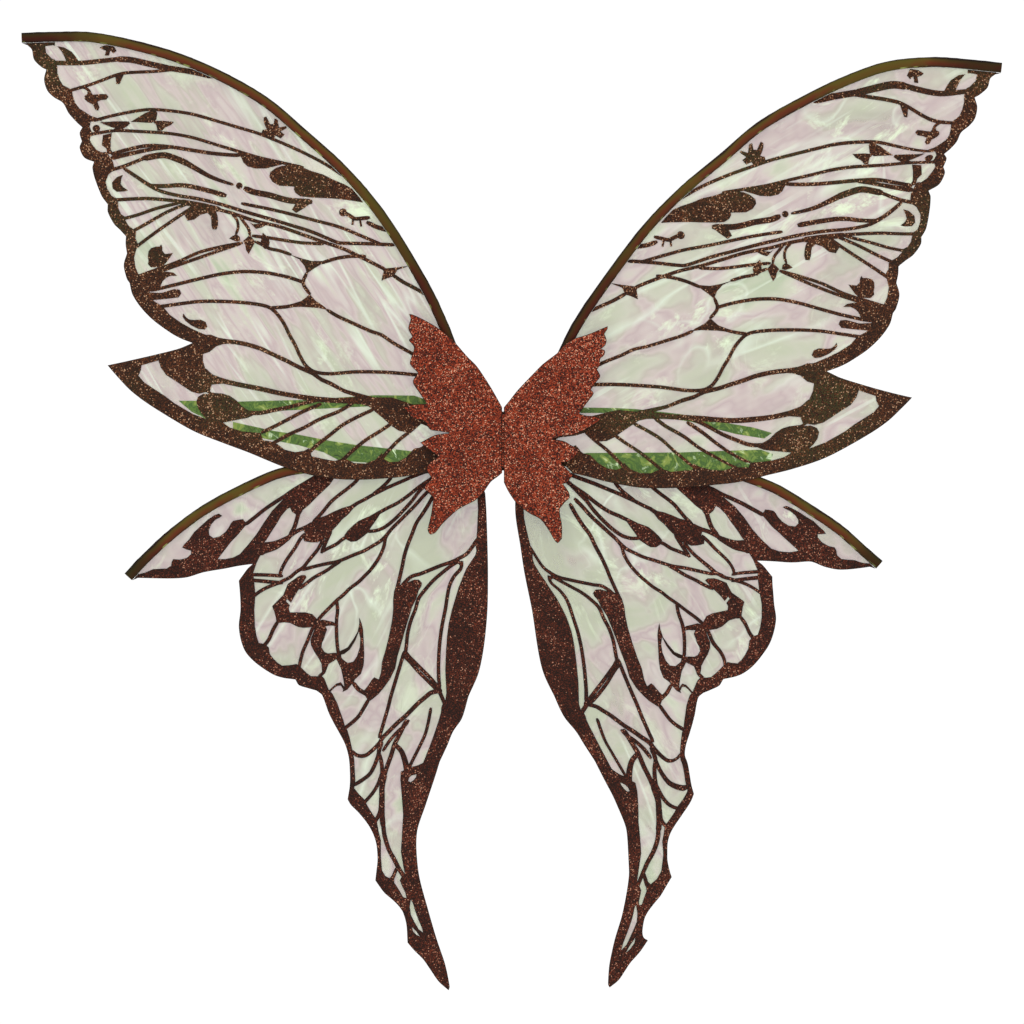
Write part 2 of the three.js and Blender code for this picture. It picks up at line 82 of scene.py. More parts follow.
# %% Camera
FRAME_WIDE = 0.9216
CAMERA_BACK = 6.0
camera_data = bpy.data.cameras.new("camera")
camera_data.sensor_width = 36
camera_data.lens = 36 * CAMERA_BACK / FRAME_WIDE
camera = bpy.data.objects.new("camera", camera_data)
camera.location = (0.0081, -CAMERA_BACK - 0.023, -0.0621)
camera.rotation_euler = (math.pi / 2, 0, 0)
bpy.context.scene.collection.objects.link(camera)
bpy.context.scene.camera = camera
bpy.context.scene.view_settings.view_transform = "Standard"
print("lens", round(camera_data.lens, 1), "mm")

# %% Lights and floor
world = bpy.data.worlds.new("white_room")
bpy.context.scene.world = world
world.use_nodes = True
world.node_tree.nodes["Background"].inputs["Color"].default_value = (1, 1, 1, 1)
world.node_tree.nodes["Background"].inputs["Strength"].default_value = 1.04


def soft_lamp(name, place, aim, size, power):
    lamp = bpy.data.lights.new(name, "AREA")
    lamp.shape = "SQUARE"
    lamp.size = size
    lamp.energy = power
    holder = bpy.data.objects.new(name, lamp)
    holder.location = place
    holder.rotation_euler = (Vector(aim) - Vector(place)).to_track_quat("-Z", "Y").to_euler()
    bpy.context.scene.collection.objects.link(holder)


soft_lamp("lamp_left", (-1.6, -2.2, 1.6), (0, 0, 0), 1.0, 9)
soft_lamp("lamp_right", (2.0, -1.8, 0.6), (0, 0, 0), 0.8, 5)
soft_lamp("lamp_back", (0.6, 2.6, 1.6), (0, 0, 0), 1.2, 5)

bpy.ops.object.select_all(action="DESELECT")
bpy.ops.mesh.primitive_plane_add(size=11, location=(0, 0, -0.95))
floor = bpy.context.object
floor.name = "floor"
print("floor at", floor.location.z)

# %% [markdown]
# ## Shader maths
# A material here is mostly sums on noise, so a small class wraps a node socket and turns
# Python's own operators into Math nodes. Colours and vectors have their own nodes.

# %% Shader helpers
def linear(red, green, blue):
    """A colour given as on a screen, 0 to 255, as the numbers a shader works in."""
    def channel(v):
        v = v / 255
        return v / 12.92 if v <= 0.04045 else ((v + 0.055) / 1.055) ** 2.4
    return (channel(red), channel(green), channel(blue), 1)


class Value:
    """A shader socket that can be added, multiplied and compared like a number."""

    def __init__(self, paint, socket):
        self.paint, self.socket = paint, socket

    def math(self, operation, *others):
        return self.paint.node("ShaderNodeMath", {"operation": operation}, [self, *others])

    def __add__(self, other): return self.math("ADD", other)
    __radd__ = __add__

    def __sub__(self, other): return self.math("SUBTRACT", other)

    def __rsub__(self, other):
        return self.paint.node("ShaderNodeMath", {"operation": "SUBTRACT"}, [other, self])

    def __mul__(self, other): return self.math("MULTIPLY", other)
    __rmul__ = __mul__

    def __truediv__(self, other): return self.math("DIVIDE", other)
    def __pow__(self, other): return self.math("POWER", other)
    def __gt__(self, other): return self.math("GREATER_THAN", other)
    def __lt__(self, other): return self.math("LESS_THAN", other)
    def abs(self): return self.math("ABSOLUTE")
    def clamp(self): return self.paint.node(
        "ShaderNodeMath", {"operation": "ADD", "use_clamp": True}, [self, 0.0])


class Paint:
    """A material being mixed."""

    def __init__(self, name):
        self.material = bpy.data.materials.new(name)
        self.material.use_nodes = True
        self.tree = self.material.node_tree
        self.shader = self.tree.nodes["Principled BSDF"]

    def node(self, kind, settings=None, inputs=(), out=0):
        made = self.tree.nodes.new(kind)
        for key, value in (settings or {}).items():
            if key == "stops":
                ramp = made.color_ramp
                while len(ramp.elements) < len(value):
                    ramp.elements.new(0.5)
                for element, (at, colour) in zip(ramp.elements, value):
                    element.position, element.color = at, colour
            elif key == "ramp":
                made.color_ramp.interpolation = value
            else:
                setattr(made, key, value)
        pairs = inputs.items() if isinstance(inputs, dict) else enumerate(inputs)
        for key, value in pairs:
            self.plug(made.inputs[key], value)
        return Value(self, made.outputs[out])

    def plug(self, socket, value):
        if isinstance(value, Value):
            self.tree.links.new(value.socket, socket)
        else:
            socket.default_value = value

    def set(self, **sockets):
        for key, value in sockets.items():
            self.plug(self.shader.inputs[key.replace("_", " ")], value)
        return self

    def place(self):
        return self.node("ShaderNodeTexCoord", out="Object")

    def uv(self):
        return self.node("ShaderNodeTexCoord", out="UV")

    def turn(self, vector, scale=(1, 1, 1), angle=0.0, move=(0, 0, 0)):
        """The place stretched and turned about the Y axis, for grain that runs one way."""
        turned = self.node("ShaderNodeMapping", {}, {
            "Vector": vector, "Location": move, "Rotation": (0, math.radians(angle), 0)})
        return self.node("ShaderNodeVectorMath", {"operation": "MULTIPLY"}, [turned, scale])

    def noise(self, vector, scale, detail=2.0, rough=0.5, distortion=0.0):
        return self.node("ShaderNodeTexNoise", {}, {
            "Vector": vector, "Scale": scale, "Detail": detail, "Roughness": rough,
            "Distortion": distortion})

    def cells(self, vector, scale, out="Color"):
        return self.node("ShaderNodeTexVoronoi", {}, {"Vector": vector, "Scale": scale}, out)

    def part(self, vector, axis):
        return self.node("ShaderNodeSeparateXYZ", {}, [vector], axis)

    def ramp(self, value, stops, ramp="LINEAR"):
        return self.node("ShaderNodeValToRGB", {"stops": stops, "ramp": ramp}, [value])

    def mix(self, factor, a, b):
        return self.node("ShaderNodeMix", {"data_type": "RGBA"}, {0: factor, 6: a, 7: b}, out=2)

    def bump(self, height, strength, distance):
        return self.node("ShaderNodeBump", {}, {
            "Strength": strength, "Distance": distance, "Height": height})


def grey(v):
    return (v, v, v, 1)


floor_paint = Paint("floor_pale").set(Base_Color=linear(236, 236, 238), Roughness=0.9)
floor.data.materials.append(floor_paint.material)
print("shader helpers ready")

# %% [markdown]
# ## The wing pattern, drawn once
# Both wings of a pair are cut from one paper pattern, turned over for the other side, so the
# pattern is drawn once: out from the crease and up, in millimetres. It holds the free edge,
# the openings cut in the glitter sheet, and the strips and leaf shapes left between them.
# A strip is drawn by its middle line and its width, a leaf by its outline.

# %% Upper wing: free edge and openings
def line(text):
    """Points written as 'out,up out,up ...'"""
    return [tuple(float(v) for v in pair.split(",")) for pair in text.split()]


SPAR = {
    "upper": line(
        "433,364.5 400,365.5 370,365 330,357.3 290,345.5 250,328 212,305.5 180,278.3 150.5,252 "
        "130,230.5 110,205.5 90,175 67,135 54.5,108 46.5,88 38,64 29.4,43.4"),
    "lower": line(
        "337.5,-120.5 325,-107 300,-83.5 270,-61 240,-44.3 205,-28.5 180,-23 150,-22 120,-23 "
        "90,-19 62,-13 44,-10 31.7,-6.8"),
}
SLEEVE_END = {"upper": 0.955, "lower": 0.965}

# The free edge, tip to root: each line is one smooth scallop, and the scallops meet in points
EDGE = {
    "upper": [line(t) for t in (
        "428,358 424,354 422,345 415,338 411,336",
        "411,336 413,327 410,317 404,311 396,306 391,297 384,289 378.5,284",
        "378.5,284 381,279 379,271.5",
        "379,271.5 381,266 377,257 368,253",
        "368,253 369.5,248 367.5,238.5 361,222 355.7,214.8",
        "355.7,214.8 355.7,208 350,197 344.6,191.7 339.3,186",
        "339.3,186 339.6,179 338.4,170.6",
        "338.4,170.6 341.3,160 338.4,147.5 336,144",
        "336,144 333.6,134 326.3,122.5 315.3,111 299,99 289.4,93.8 279.5,90",
        "279.5,90 291.5,85 313,79.5 337,74 355.8,69.9",
        "355.8,69.9 350,63 336,48 322,37 300,23 277,10 252,0 229,-8.6 199,-21 180,-27 "
        "169,-29.7 149,-32.5 126,-33 108,-32 91.5,-30.6 76.5,-28.3 65,-27",
        "65,-27 48,-6 40,18 39,40",
    )],
    "lower": [line(t) for t in (
        "329,-121.5 300,-122 285,-121 270,-116.5 250,-113 240,-111 230,-109.5 225.5,-109",
        "225.5,-109 230,-113 238,-124",
        "238,-124 237,-135 236.5,-150 238,-165 236,-178 232,-188 225,-196 216,-203 206,-209 "
        "198,-211.5 187,-213",
        "187,-213 184,-218 175,-221 168,-223",
        "168,-223 163,-227 157,-243 152,-253 147,-262 142,-272 139,-283 138,-295 138,-308 140,-321",
        "140,-321 137,-326 130,-333 122,-343 117,-352 114,-362 113,-375 114,-385 115,-394",
        "115,-394 107,-405 100,-411 94,-417 90,-423 87,-434 86,-450",
        "86,-450 80,-457 72,-465 65,-475 58,-485 49,-493",
        "49,-493 48,-490 52,-470 60,-446 67,-422 75.5,-390 78,-365 77,-348 70,-327 66,-315 "
        "61,-300 57,-287",
        "57,-287 50,-272 45,-260 37,-248 31,-228",
        "31,-228 22,-207 17,-182 14,-150 13.5,-115 14,-90 15,-60 16,-45",
        "16,-45 24,-28 40,-20",
    )],
}
UPPER_FIELDS = [line(t) for t in (
    "412,357 405,358 400,356 395,350 392,343.5 400,343.5 406,346 411,351",
    "404,347 402,342 401,338 401,333 399,327 396,322 388,318 387,312 385,306 381,301 371,294.5 "
    "365,292.5 361,290 359,286 361,281.5 367,277.5 363,276 361,273 363,267 356,261 351,253 "
    "349.4,246 355,241.7 357.6,235 356.2,229 352.3,222.5 347.5,220 346.5,216 346,211 343.7,206 "
    "340.3,203.8 339.8,200.4 337,195.6 333,192.7 330.2,189.8 330.7,184 328.8,179.7 330.2,173.5 "
    "332,166.7 330.7,158 328.3,152.3 326,151 322,146 318,137 318,131 313,127 306,123 300,115.5 "
    "289.4,108 279.5,102.6 269.7,98.2 261,95.5 250,93.8 239,92 228,90 207,80 184,68.7 172,63.5 "
    "164,57.7 155,53.7 132,43.8 120,41 100,41 76,33 62,30 40,90 60,190 200,400 390,440 402,380",
    "264,82 258,87 250,89.5 240,88.6 230,86.6 218.5,83 207,77.6 195,72 184,66.3 172,61 164,55.3 "
    "155,51.3 143,45 132,41.4 150,40.5 166,41.7 184,44 201,47 218,51 239,55 252,58.3 261,61.5 "
    "268,67 270,74 270,80",
    "325.3,69.9 325.9,65.5 328,60.6 323,54.6 313,48 304.6,42.6 296,36 279.5,26.3 266.5,21.4 "
    "270.5,25.5 274,30.6 276,37.2 274.5,41.5 269.7,44.2 263,44 265,46.5 273,44.3 280,46 287,50.5 "
    "295,56 303,61 308,68 310,74.3 315,72.8",
    "264,45.5 262,52.5 252,53.4 239,50.6 218.5,46.6 201,43 184,40 166.5,37.4 149,36 128,35 "
    "121,33 114.6,27.7 107.7,22 100.8,15.6 93.8,11 87,9.8 81.2,12.7 76.5,18.5 66,14 50,11 46,8 52,3 62,-2 "
    "80,-5 87,-12.7 94,-16.7 102,-17.3 106.5,-15 109,-9 114.6,-15 124,-18.5 134,-18 140,-15 "
    "146,-14.4 151.5,-16.2 161,-14.4 172,-12 174.6,-4.6 179,-7 187,-8.3 196.5,-6 203,-1 "
    "209,1.5 216,2.5 218,9 225,9.5 235,10.5 246,14 252,18.3 241.4,20.4 230,22.5 221,26.5 "
    "229.4,29.5 234.9,33 240.3,38.7 245.8,42.5 252.3,44.5",
)]
UPPER_FIELDS += [line(t) for t in (
    "371,289 366,291 361,289.5 358.5,285 360,280.5 365,278.5 370,280 372,284.5",
    "371,276 366,277.5 361,275 360.5,268 357,262 361,261.5 366,264 370,269 372,273",
)]
LOWER_FIELDS = [line(t) for t in (
    "328,-118 322,-116.5 315,-113.5 303,-113 299,-110.5 298.5,-107 297,-104.5 291,-105 "
    "285,-103.5 281,-100 281,-97 285,-96 289,-94 287,-91 283,-87 278,-80 272,-74.5 266,-69 "
    "260,-65 256,-63.5 253,-65.5 255,-67 259,-69 263,-73.5 265,-79 264.5,-83 261,-85.5 "
    "255,-84 250,-80 247,-76 245,-72 243,-70 238,-69 234,-68.5 232,-72 225,-67 215,-59 "
    "205,-52 197,-47 190,-42 180,-36 165,-29 150,-10 220,0 300,-40 345,-95",
    "257,-104.5 252,-98 245,-89 240,-84 232,-74.5 225,-70 220,-65.5 210,-58.5 200,-52 "
    "197.5,-50 208,-61 215,-71 222,-82 230,-92 237,-100 243,-103 250,-104.5",
    "192,-58 190,-62 187,-64 186,-66 187,-70 188,-75 190,-79 195,-84 199,-88 205,-89.5 "
    "210,-91.5 215,-93 217,-92 213,-87 208,-79 204,-73 200,-66 195,-60",
    "151,-30 156,-37.5 165,-46 175,-56 183,-62.5 185,-70 189,-80 196,-88 206,-92 216,-96 "
    "222,-108 225,-117 224,-126 223,-137 224,-150 223.5,-165 222,-174 220,-180 215,-181 "
    "211,-184 210,-190 207,-194 203,-198 199,-200.5 192,-200 186,-199 183,-201 181,-203 "
    "177,-207 173,-210 167,-210 164,-209 161,-212 157,-222 153.5,-226 149,-235 147,-241 "
    "144,-249 142,-256 140,-259 138,-266 136,-275 135,-280 134,-285 133.5,-295 133,-303 "
    "134,-311 130,-316 125,-321 122,-327 117,-335 114,-339 112,-350 110,-358 110,-365 "
    "110,-372 109,-385 106,-390 102,-392 100,-389 98,-391 98,-396 94,-402 90,-409 87,-410 "
    "88,-405 91,-399 93,-394 91,-390 88.5,-388 90,-380 92,-368 91,-352 90,-335 91,-320 "
    "92.5,-303 92,-296 88,-294 86,-292.5 82,-291.5 79,-291 "
    "76,-290 72,-288 70,-283 66,-273 62,-262 58,-250 56,-243 55.5,-238 54,-234 52,-232 51,-225 "
    "51.5,-215 52,-205 51.5,-190 50.5,-175 49,-163 46,-150 43,-140 40,-130 36,-120 33,-113 "
    "29,-107 25,-101 24,-97 25,-90 24,-86 23.5,-80 23,-70 22.5,-60 23,-50 30,-24 60,-12 "
    "140,-10",
    "85.5,-304.5 84.5,-301.5 82.5,-299.5 78,-298.5 78.5,-301 80.5,-303.5 83,-305.5",
    "83,-411 81,-415 79,-422 76,-430 73,-437 72,-441 76,-438 80,-431 83,-425 84,-418",
    "82,-436 78,-440 75,-444.5 78,-443 81,-440",
)]
print(sum(map(len, EDGE["upper"] + EDGE["lower"])), "edge points,",
      len(UPPER_FIELDS), "and", len(LOWER_FIELDS), "openings")

# %% [markdown]
# ## Veins and leaf shapes
# Where the field of a wing is open, the veins cross it as strips one to six millimetres wide.
# Some swell into leaf and petal shapes. Each strip is `width: points`, and two widths are
# the ends of an even taper. The shapes below them are closed outlines.

# %% Upper wing veins
UPPER_VEINS = """
3.2: 405,342 380,342 360,344 345,345.5
4.4: 347,345.4 335,344.8 320,341.5 300,337
4: 302,337.5 280,334 262,330
1.9: 390,317 370,323 350,330.5 340,333 312,334.5 295,336 276,335
1.9: 369,290 345,296 320,300 300,299 280,296 260,290.5 240,284.5 220,278.5 200,270.5 180,261.5 160,251 \
140,238
1.9: 370,278 350,281 330,280.5 300,278.5 280,275 260,269 240,263 220,257 200,252.5 180,248
2.4: 352,260 338,264 320,267.5 300,266.5 280,263.5 260,260.5 240,259 233,260
3.4 2: 352,256.5 335,260.5 315,264.5 300,266
2.2: 357,244 353,245.5 340,249.5 321,257
4.6: 323,256.4 305,259 292,255 283,251
4.2 1.6: 285,252 273,245 264,240 254,236 243,232.5
4.4: 232,229 225,226 210,223 200,220 191,218 173,217
2: 235,215.5 210,210.5 191,206 172,201 148,194.6 129,187 108,178
2.2 3.6: 341,247 329,239 321.5,234 316.7,231.6 302,231.3 292.7,232 283,231.3 264,226.8 250,222.7
2.2: 321.5,233.6 310,227.3 292.7,222.7 273.5,219.6 254,214.8 235,209 210,201.7 191,196 172,190 153,182 \
147,180 124,179.4 98,178.3
2.2: 350,218.7 321.5,220 302,218.7 283,216.3 264,212 244.6,207 225,200.4 201,194.6 181.5,188 162,181 \
143,174.4 124,165.3 106,156.2
4: 290,217 270,213.5 255,210
2: 290.8,216.3 312,211 329,205.2 343,201.5
2: 283,215.8 302,208 321.5,197 335,189.5
2: 277,213.8 292.7,203.3 312,190 334,173.5
1.6: 243.7,206 239.3,200.4 238.4,193.7 240.3,188
1.8: 237,204 233,198.5 229,192.7 227.8,187
2: 225.4,186.4 210,184.5 181.5,180.2 162,179.2
2: 222.5,181 217.7,179 210,175 201,173 191,169.6
2: 235,180 254,176.5 273.5,171.5 292.7,163 312,156 329,149.8
2: 235,180 254,173.5 273.5,166.7 292.7,160 317.7,151.3
2.2: 318,137.4 310,138.8 292.7,143 273.5,147.7 254,152 235,154.2 216,153.5 201,151 191,148.5 179,144.5
2.2: 320,122 311,122.5 292.7,125 273.5,127.3 249,127.3 225,125.4 209.4,121.5 199,110.5 192,97 187,88 \
182.7,78.5 178,70.4 172,65.2 165,63 155,62.3 132,64 103,63.5 70,60.5
2.2: 209.4,121.5 196,122.5 186,124.4
2.2: 173.8,134 178.7,140.8 180,145 176.7,152.8
2.2: 163,162 154.6,164.8 147,166.7 137,168 124,168
2.2: 158,119.6 149,114.2 137.7,109 120,101 109,97 99.6,90.6 74,76
2.4: 99,151 90,145 80.6,140 68,133
7 2.2: 266,94.5 256,91.8 245,91
2.2: 250,92 240,91 230,89 218.5,85.4 207,80 195,74.4 184,68.7 172,63.5 164,57.7 155,53.7 143.5,47.3 \
132,43.8 118,40
2.5: 269,66.5 261,59 252,55.7 239,52.4 218.5,48.3 201,44.4 184,41.5
3.2: 186,42 166.5,39.2 149,38 132,38 117,37
3 2: 232,27.4 218.5,27 207,29.4 195,31.7 184,34.6 172,37.5 163,39.4
2.3: 164,35 180,28.3 192,22 203.5,16 217,9.5
2.3: 135,36 147,28.8 165,21.4 179,13.8 192,8 203.5,1.7 213,-4
2.3: 117,30 132,23 144.6,16 156,7 166.5,-1 176,-10
2.3: 101,17 112,9.8 124,2.3 134,-5.8 146,-17
2.3: 74,19 84.6,9.8 94,2.3 102,-5.8 111,-16
2.3: 66,3 70.8,-3.5 77.7,-8 87,-15
1.6: 381,320.5 376,319.5 372.5,317 371,313
3: 350,281 344,284 337,288
5: 263.8,208 260.5,206 259.5,200.4 259.5,193.7
2.5: 144,208 137.3,204.2 133.5,201.8 125.8,202.3 120.5,202.8
2.2: 134.9,201.4 135.4,197
2.2: 128.7,201 127.7,195.6
3: 122,198.5 114.2,194.6 103,191.2
4.4: 320,133 308,132.5 294,134.5
3: 263,44.5 266,46.5
"""
UPPER_LEAVES = """
374,316 371,316 369,313.5 362,314 357,314 355,311.5 357,309 362,308.5 365,307 363,302 364.5,299 367,300 \
369,304.5 374,307 376.5,309.5 376.5,312.5 374,314
401,357 395,356 388,352 384,347 381,342 392,341 394,346 397,352
363,356 358,358 350.6,358 347.7,353 350.6,350.6 353.5,353 354.4,348.7 358.3,348.7 357.3,353 361,354.4
349,331 341,332 345,323 348,323
363,288.6 350,289.5 338,289.5 338,286 346,283 352,284 357,286
335,289 322,297 313,300 311,297 312,291 316,288 325,288.5
316,290 306,290 296,289 299,286 304,284 307,281 311,281 312,286
360,277 352,279 353,272 353,264 350,260 356,260 357,265 361,268
238.5,262 232.7,261 223,257 203.8,253 194,252 203,249.6 213.5,247 223,247 230,249 233.7,252.5 235.6,257
209.4,243.7 204.6,247.5 198.8,249.4 191,250.4 181.5,248.5 172,244.6 162,241.7 152.7,237 143,233 136,229 \
129.6,221.5 125.8,216.3 133.5,217.7 143,219 152.7,220 173.8,221 182.5,222 186.8,225 188.3,228.3 \
187.8,230.7 196,231.2 201.7,231.6 207.5,235 210.4,239.8
215.4,293 213,293.8 211.5,291 209.6,287 206.5,287 205.5,292 202.8,291 201.5,284 195,285.2 194.7,283.3 \
200,280.4 196.6,277.5 200,274 204.8,276.5 207.7,272 213.5,274.6 217.3,279.4 216.3,281.8 212.5,282.3 \
214.4,286.2 215.4,289.5
342.2,241.3 347.5,239.3 351.8,234.5 351.3,229 347.5,226 340.8,226.3 337.4,227.3 341.7,230.2 344,233 \
343.6,237
190,210 186,207 178,212 171,217.5 175,219 185,218
287,206 284,211 278,212.5 268,211.5 262,210 264,207.5 272,205.5 278,201 284,200
246.5,184 243.2,186.4 239.8,187.9 236.9,185.5 236.4,182 239.3,181.2 243.2,182.6
234,181.6 227.8,187.4 223,181.2 225.4,176.3 228.8,170 231.2,173.5 232,178.3
228.3,199 225.4,197 210,197.5 217.7,193.7 222.5,192.7
216.2,189.3 210.9,184.5 209.9,180.2 210.9,176.3 214.2,174.4 217,177.3 218,181
319.6,167.7 319,172.5 316.7,175.4 312,176.8 309,176.8 307.6,178.8 306.6,176.3 306.6,173 304.2,170 \
297,171 298.5,168.7 303.3,162 307,158.6 316.7,158 319.6,161 319,163.8
326,152.5 312,153.8 302.3,154.2 296.5,153.3 293.2,150.4 299.4,150.4 303.3,148.5 306.2,145.6 308,141.7 \
310,138.8 320,136
320,133.5 310,134 303,136.5 296,138.5 291,138 289.5,134.5 292,131 300,130 320,128
287.7,116.7 288.3,113.5 285.5,109.6 280.6,105.8 274,102.6 268.6,102 266,104.7 267.6,109 272,111 \
278.5,110.7 282.8,111.3 285.5,113.5
192,169.6 181.5,166.2 172,163.8 162.3,163.8 164.2,160.5 170,157 176.7,152.3 177.2,155.2 178.7,159.5 \
183.5,165.3
205.6,121.5 191,124.9 181.5,127.8 177.7,130.7 175.3,133 172.9,133 169,128.3 160.4,122.5 157.5,119.6 \
166,121.5 181.5,122.5
108.5,157 104.6,157.3 96,158 84,159.5 95,155.7 98.4,150 104.6,148 109.4,146 108.5,150.4 107.5,154
"""
UPPER_DOTS = ((366, 283, 3.4), (237.3, 231.5, 3), (144, 207.5, 3.6))

# %% Lower wing veins
LOWER_VEINS = """
2.2: 95,-382 97.5,-387 99.5,-393
2.4: 234,-71 232,-73 225,-68 215,-60 205,-53 197,-48 190,-43 180,-37 165,-28
2.8: 182,-61 184,-63 185.5,-68 188,-76 192,-83
11 3: 221,-97 217,-95 205,-92 192,-84.5
2.6: 194,-85 185,-79 178,-76 171,-72
2.2: 134,-55.5 125,-51 118,-47 112,-44 105,-40.5 97,-37 90,-34 82,-30.5 73,-27 60,-22
2.2: 118,-47 108,-39 104,-35 100,-30
2.2: 171,-71 165,-65 160,-59 155,-53 148,-47 140,-41 133,-35 127,-28
2.2: 179,-82 183,-87 187,-94 192,-101 196,-107 200,-115 201,-120
2.2: 162,-87 167,-96 171,-101 176,-107 180,-112 186,-116 192,-121 198,-124 202,-126 210,-129 218,-133 \
226,-139
2.2: 226,-118.5 210,-119 199,-119.8
2.5: 226,-123.5 215,-124.5 205,-125.5 199,-126
2.5: 155,-79 160,-90 163.4,-98.5
2.2: 163.4,-98 158,-95 150,-91 145,-87 139,-83.5
2.2: 121,-68 105,-59 95,-54 85,-47 75,-39 66,-33 56,-26
2.2: 123,-79.5 115,-79 107,-76 98,-69 90,-61 82,-52 76,-44 70,-38 60,-28
2.2: 181,-114.2 173,-112 165,-110 158,-108.5 150,-107 142,-104 135,-101 125,-97 118,-93 110,-88 105,-83 \
100,-77 95,-72 88,-65 80,-57 72,-48 66,-42
2.2: 183,-131 178,-127 170,-121 160,-115.5 152,-110 146,-106
2.4: 203,-161 207,-168 211,-177 215,-182 220,-185
2.2: 101,-78 104,-82 106,-86 107,-92 110,-100 114,-107 120,-115 124,-119 130,-125 138,-131 143,-136 \
150,-142 157,-149 163,-155 167,-160 168,-162 172,-168 176,-178 180,-187 182,-194 184,-203
2.2: 150,-141.5 149,-150 150,-160 150,-170 149.5,-180 148.5,-188 146.5,-194
2.4: 121,-231 125,-238 130,-246 135,-251 144,-258
3: 135,-216 130,-222 125,-225 119,-228.5
2.4: 62,-46 67,-55 72,-63 78,-72 82,-82 86,-92 89,-102 91,-112 94,-125 97,-137
2.4: 21,-85 24,-88 28,-94 33,-100 40,-104 46,-107 55,-110 65,-114 75,-118 82,-120 88,-125 92,-130
2.3: 37,-110 40,-107 46,-110 55,-117 63,-124 70,-132 76,-140 79,-150 83,-160 86,-172 87,-182 88,-190
2.3: 37,-107 38,-113 44,-120 48,-128 50,-137 52,-150 55,-165 57,-180 58,-195 58,-210 57,-221
2.3: 87.5,-188 85,-192 80,-197 73,-204 66,-211 60,-218 56,-223
2.2: 90,-191 84,-197 77,-205 70,-212 63,-219 58,-224.5
2.3: 89,-188 92,-198 95,-208 98,-218 101,-228 104,-240 107,-250 109,-257 111.5,-265
2.6: 58,-219 57,-224 55,-229 52,-236
3.2 2.4: 56,-223 65,-225 70,-229 76,-234 82,-240 88,-246 95,-252 102,-259 108,-265 112,-271 118,-277 \
123,-281 128,-282 132,-281 137,-277
2: 65,-239 67,-250 70,-262 75,-273 80,-283 85,-293
2: 85,-250 88,-254 95,-260 102,-268 108,-277
3: 87,-250 91,-258 95,-266 98,-272 101,-282 105,-293 107,-300
4: 106.5,-298 109,-310 109,-320 109,-335 108,-345
3: 108,-343 107,-352 105,-360 102,-368 98,-375 94,-383 89,-391
3 5: 98,-271 92,-277 89,-284 87,-292 86,-299
2.6: 109,-270 112,-278 110,-285 109,-292 109,-302
2.5: 110.5,-273 113,-283 116,-291 120,-298 126,-303 134,-308
2.2: 109,-297 110,-300 113,-308 118,-316 127,-326
2.4: 109,-315 110,-320 111,-332 116,-343
"""
LOWER_LEAVES = """
180,-78 178,-77 175,-73 170,-70 165,-67 160,-65.5 152,-61.5 145,-58.5 138,-56.5 134,-54 130,-53 131,-56 \
135,-59 139,-64 145,-69 150,-75 153,-78 156,-80.5 160,-86 163,-87.5 167,-89.5 173,-89.5 179,-88.5 \
180,-86 178,-82
143,-83 140,-79 135,-74 130,-70 122,-66.5 113,-64 105,-60 97,-55 110,-63 114,-69 119,-76 122,-81 127,-85 \
132,-88.5 137,-89 141,-87
178,-119 177,-121 179,-124 182,-129 186,-135 189,-140 191,-144 194.5,-140.5 195.5,-142.5 192,-146 \
193,-149 192,-152.5 186,-152.5 178,-152.5 172,-154 168,-158 167,-160 169,-163 173,-166 180,-166.5 \
185,-165.5 192,-162 198,-161.5 204,-162.5 204.5,-158 206,-152 208,-147 204,-143 198,-137 196,-132 \
194,-127 190,-124 185,-120.5 182,-119
96,-128 90,-127 85,-125 80,-123 76,-123 73,-126 73.5,-129 76,-133 78,-140 82,-148 85,-158 88,-168 \
92,-182 95,-192 97,-203 102,-213 107,-220 112,-226 118,-231 121,-233 124,-228 126,-224 122,-219 118,-213 \
116,-211 112,-213 110,-207 109,-197 106,-187 103,-175 100,-160 99,-150 99,-140 98,-133
150,-163 153,-161 158,-160 163,-159 167,-161 170,-168 173.5,-177 173,-182 170,-188 166,-194 163.5,-199 \
163,-206 167,-209.5 163,-210 160,-207 157,-199 152,-196 148,-193 148,-189 153,-189 158,-189.5 161,-188 \
163.5,-184 163,-180 161,-176 160,-172 158.5,-168 160,-165 155,-164.4 149,-165
129.5,-157 127.5,-162 126,-168 125.5,-178 125,-190 125.5,-200 128,-208 133,-212.5 136,-217 140,-222 \
145,-224.5 149,-231 151,-236 149,-238 146.5,-236 146,-229 143,-219 144,-212 146,-203 149.5,-196 151,-193 \
147,-192 144,-195 140,-198 135,-197 131.5,-192 129,-184 128.5,-176 130,-170 133,-178 138,-186 143,-190 \
149,-191.5 149,-188.5 140,-184 135,-177 131,-170 129.5,-163
143,-219.5 146,-215.5 150,-216.5 155,-221 158,-224 156,-224.6 152,-220.6 149,-218.6 146,-218.6 144,-222
"""

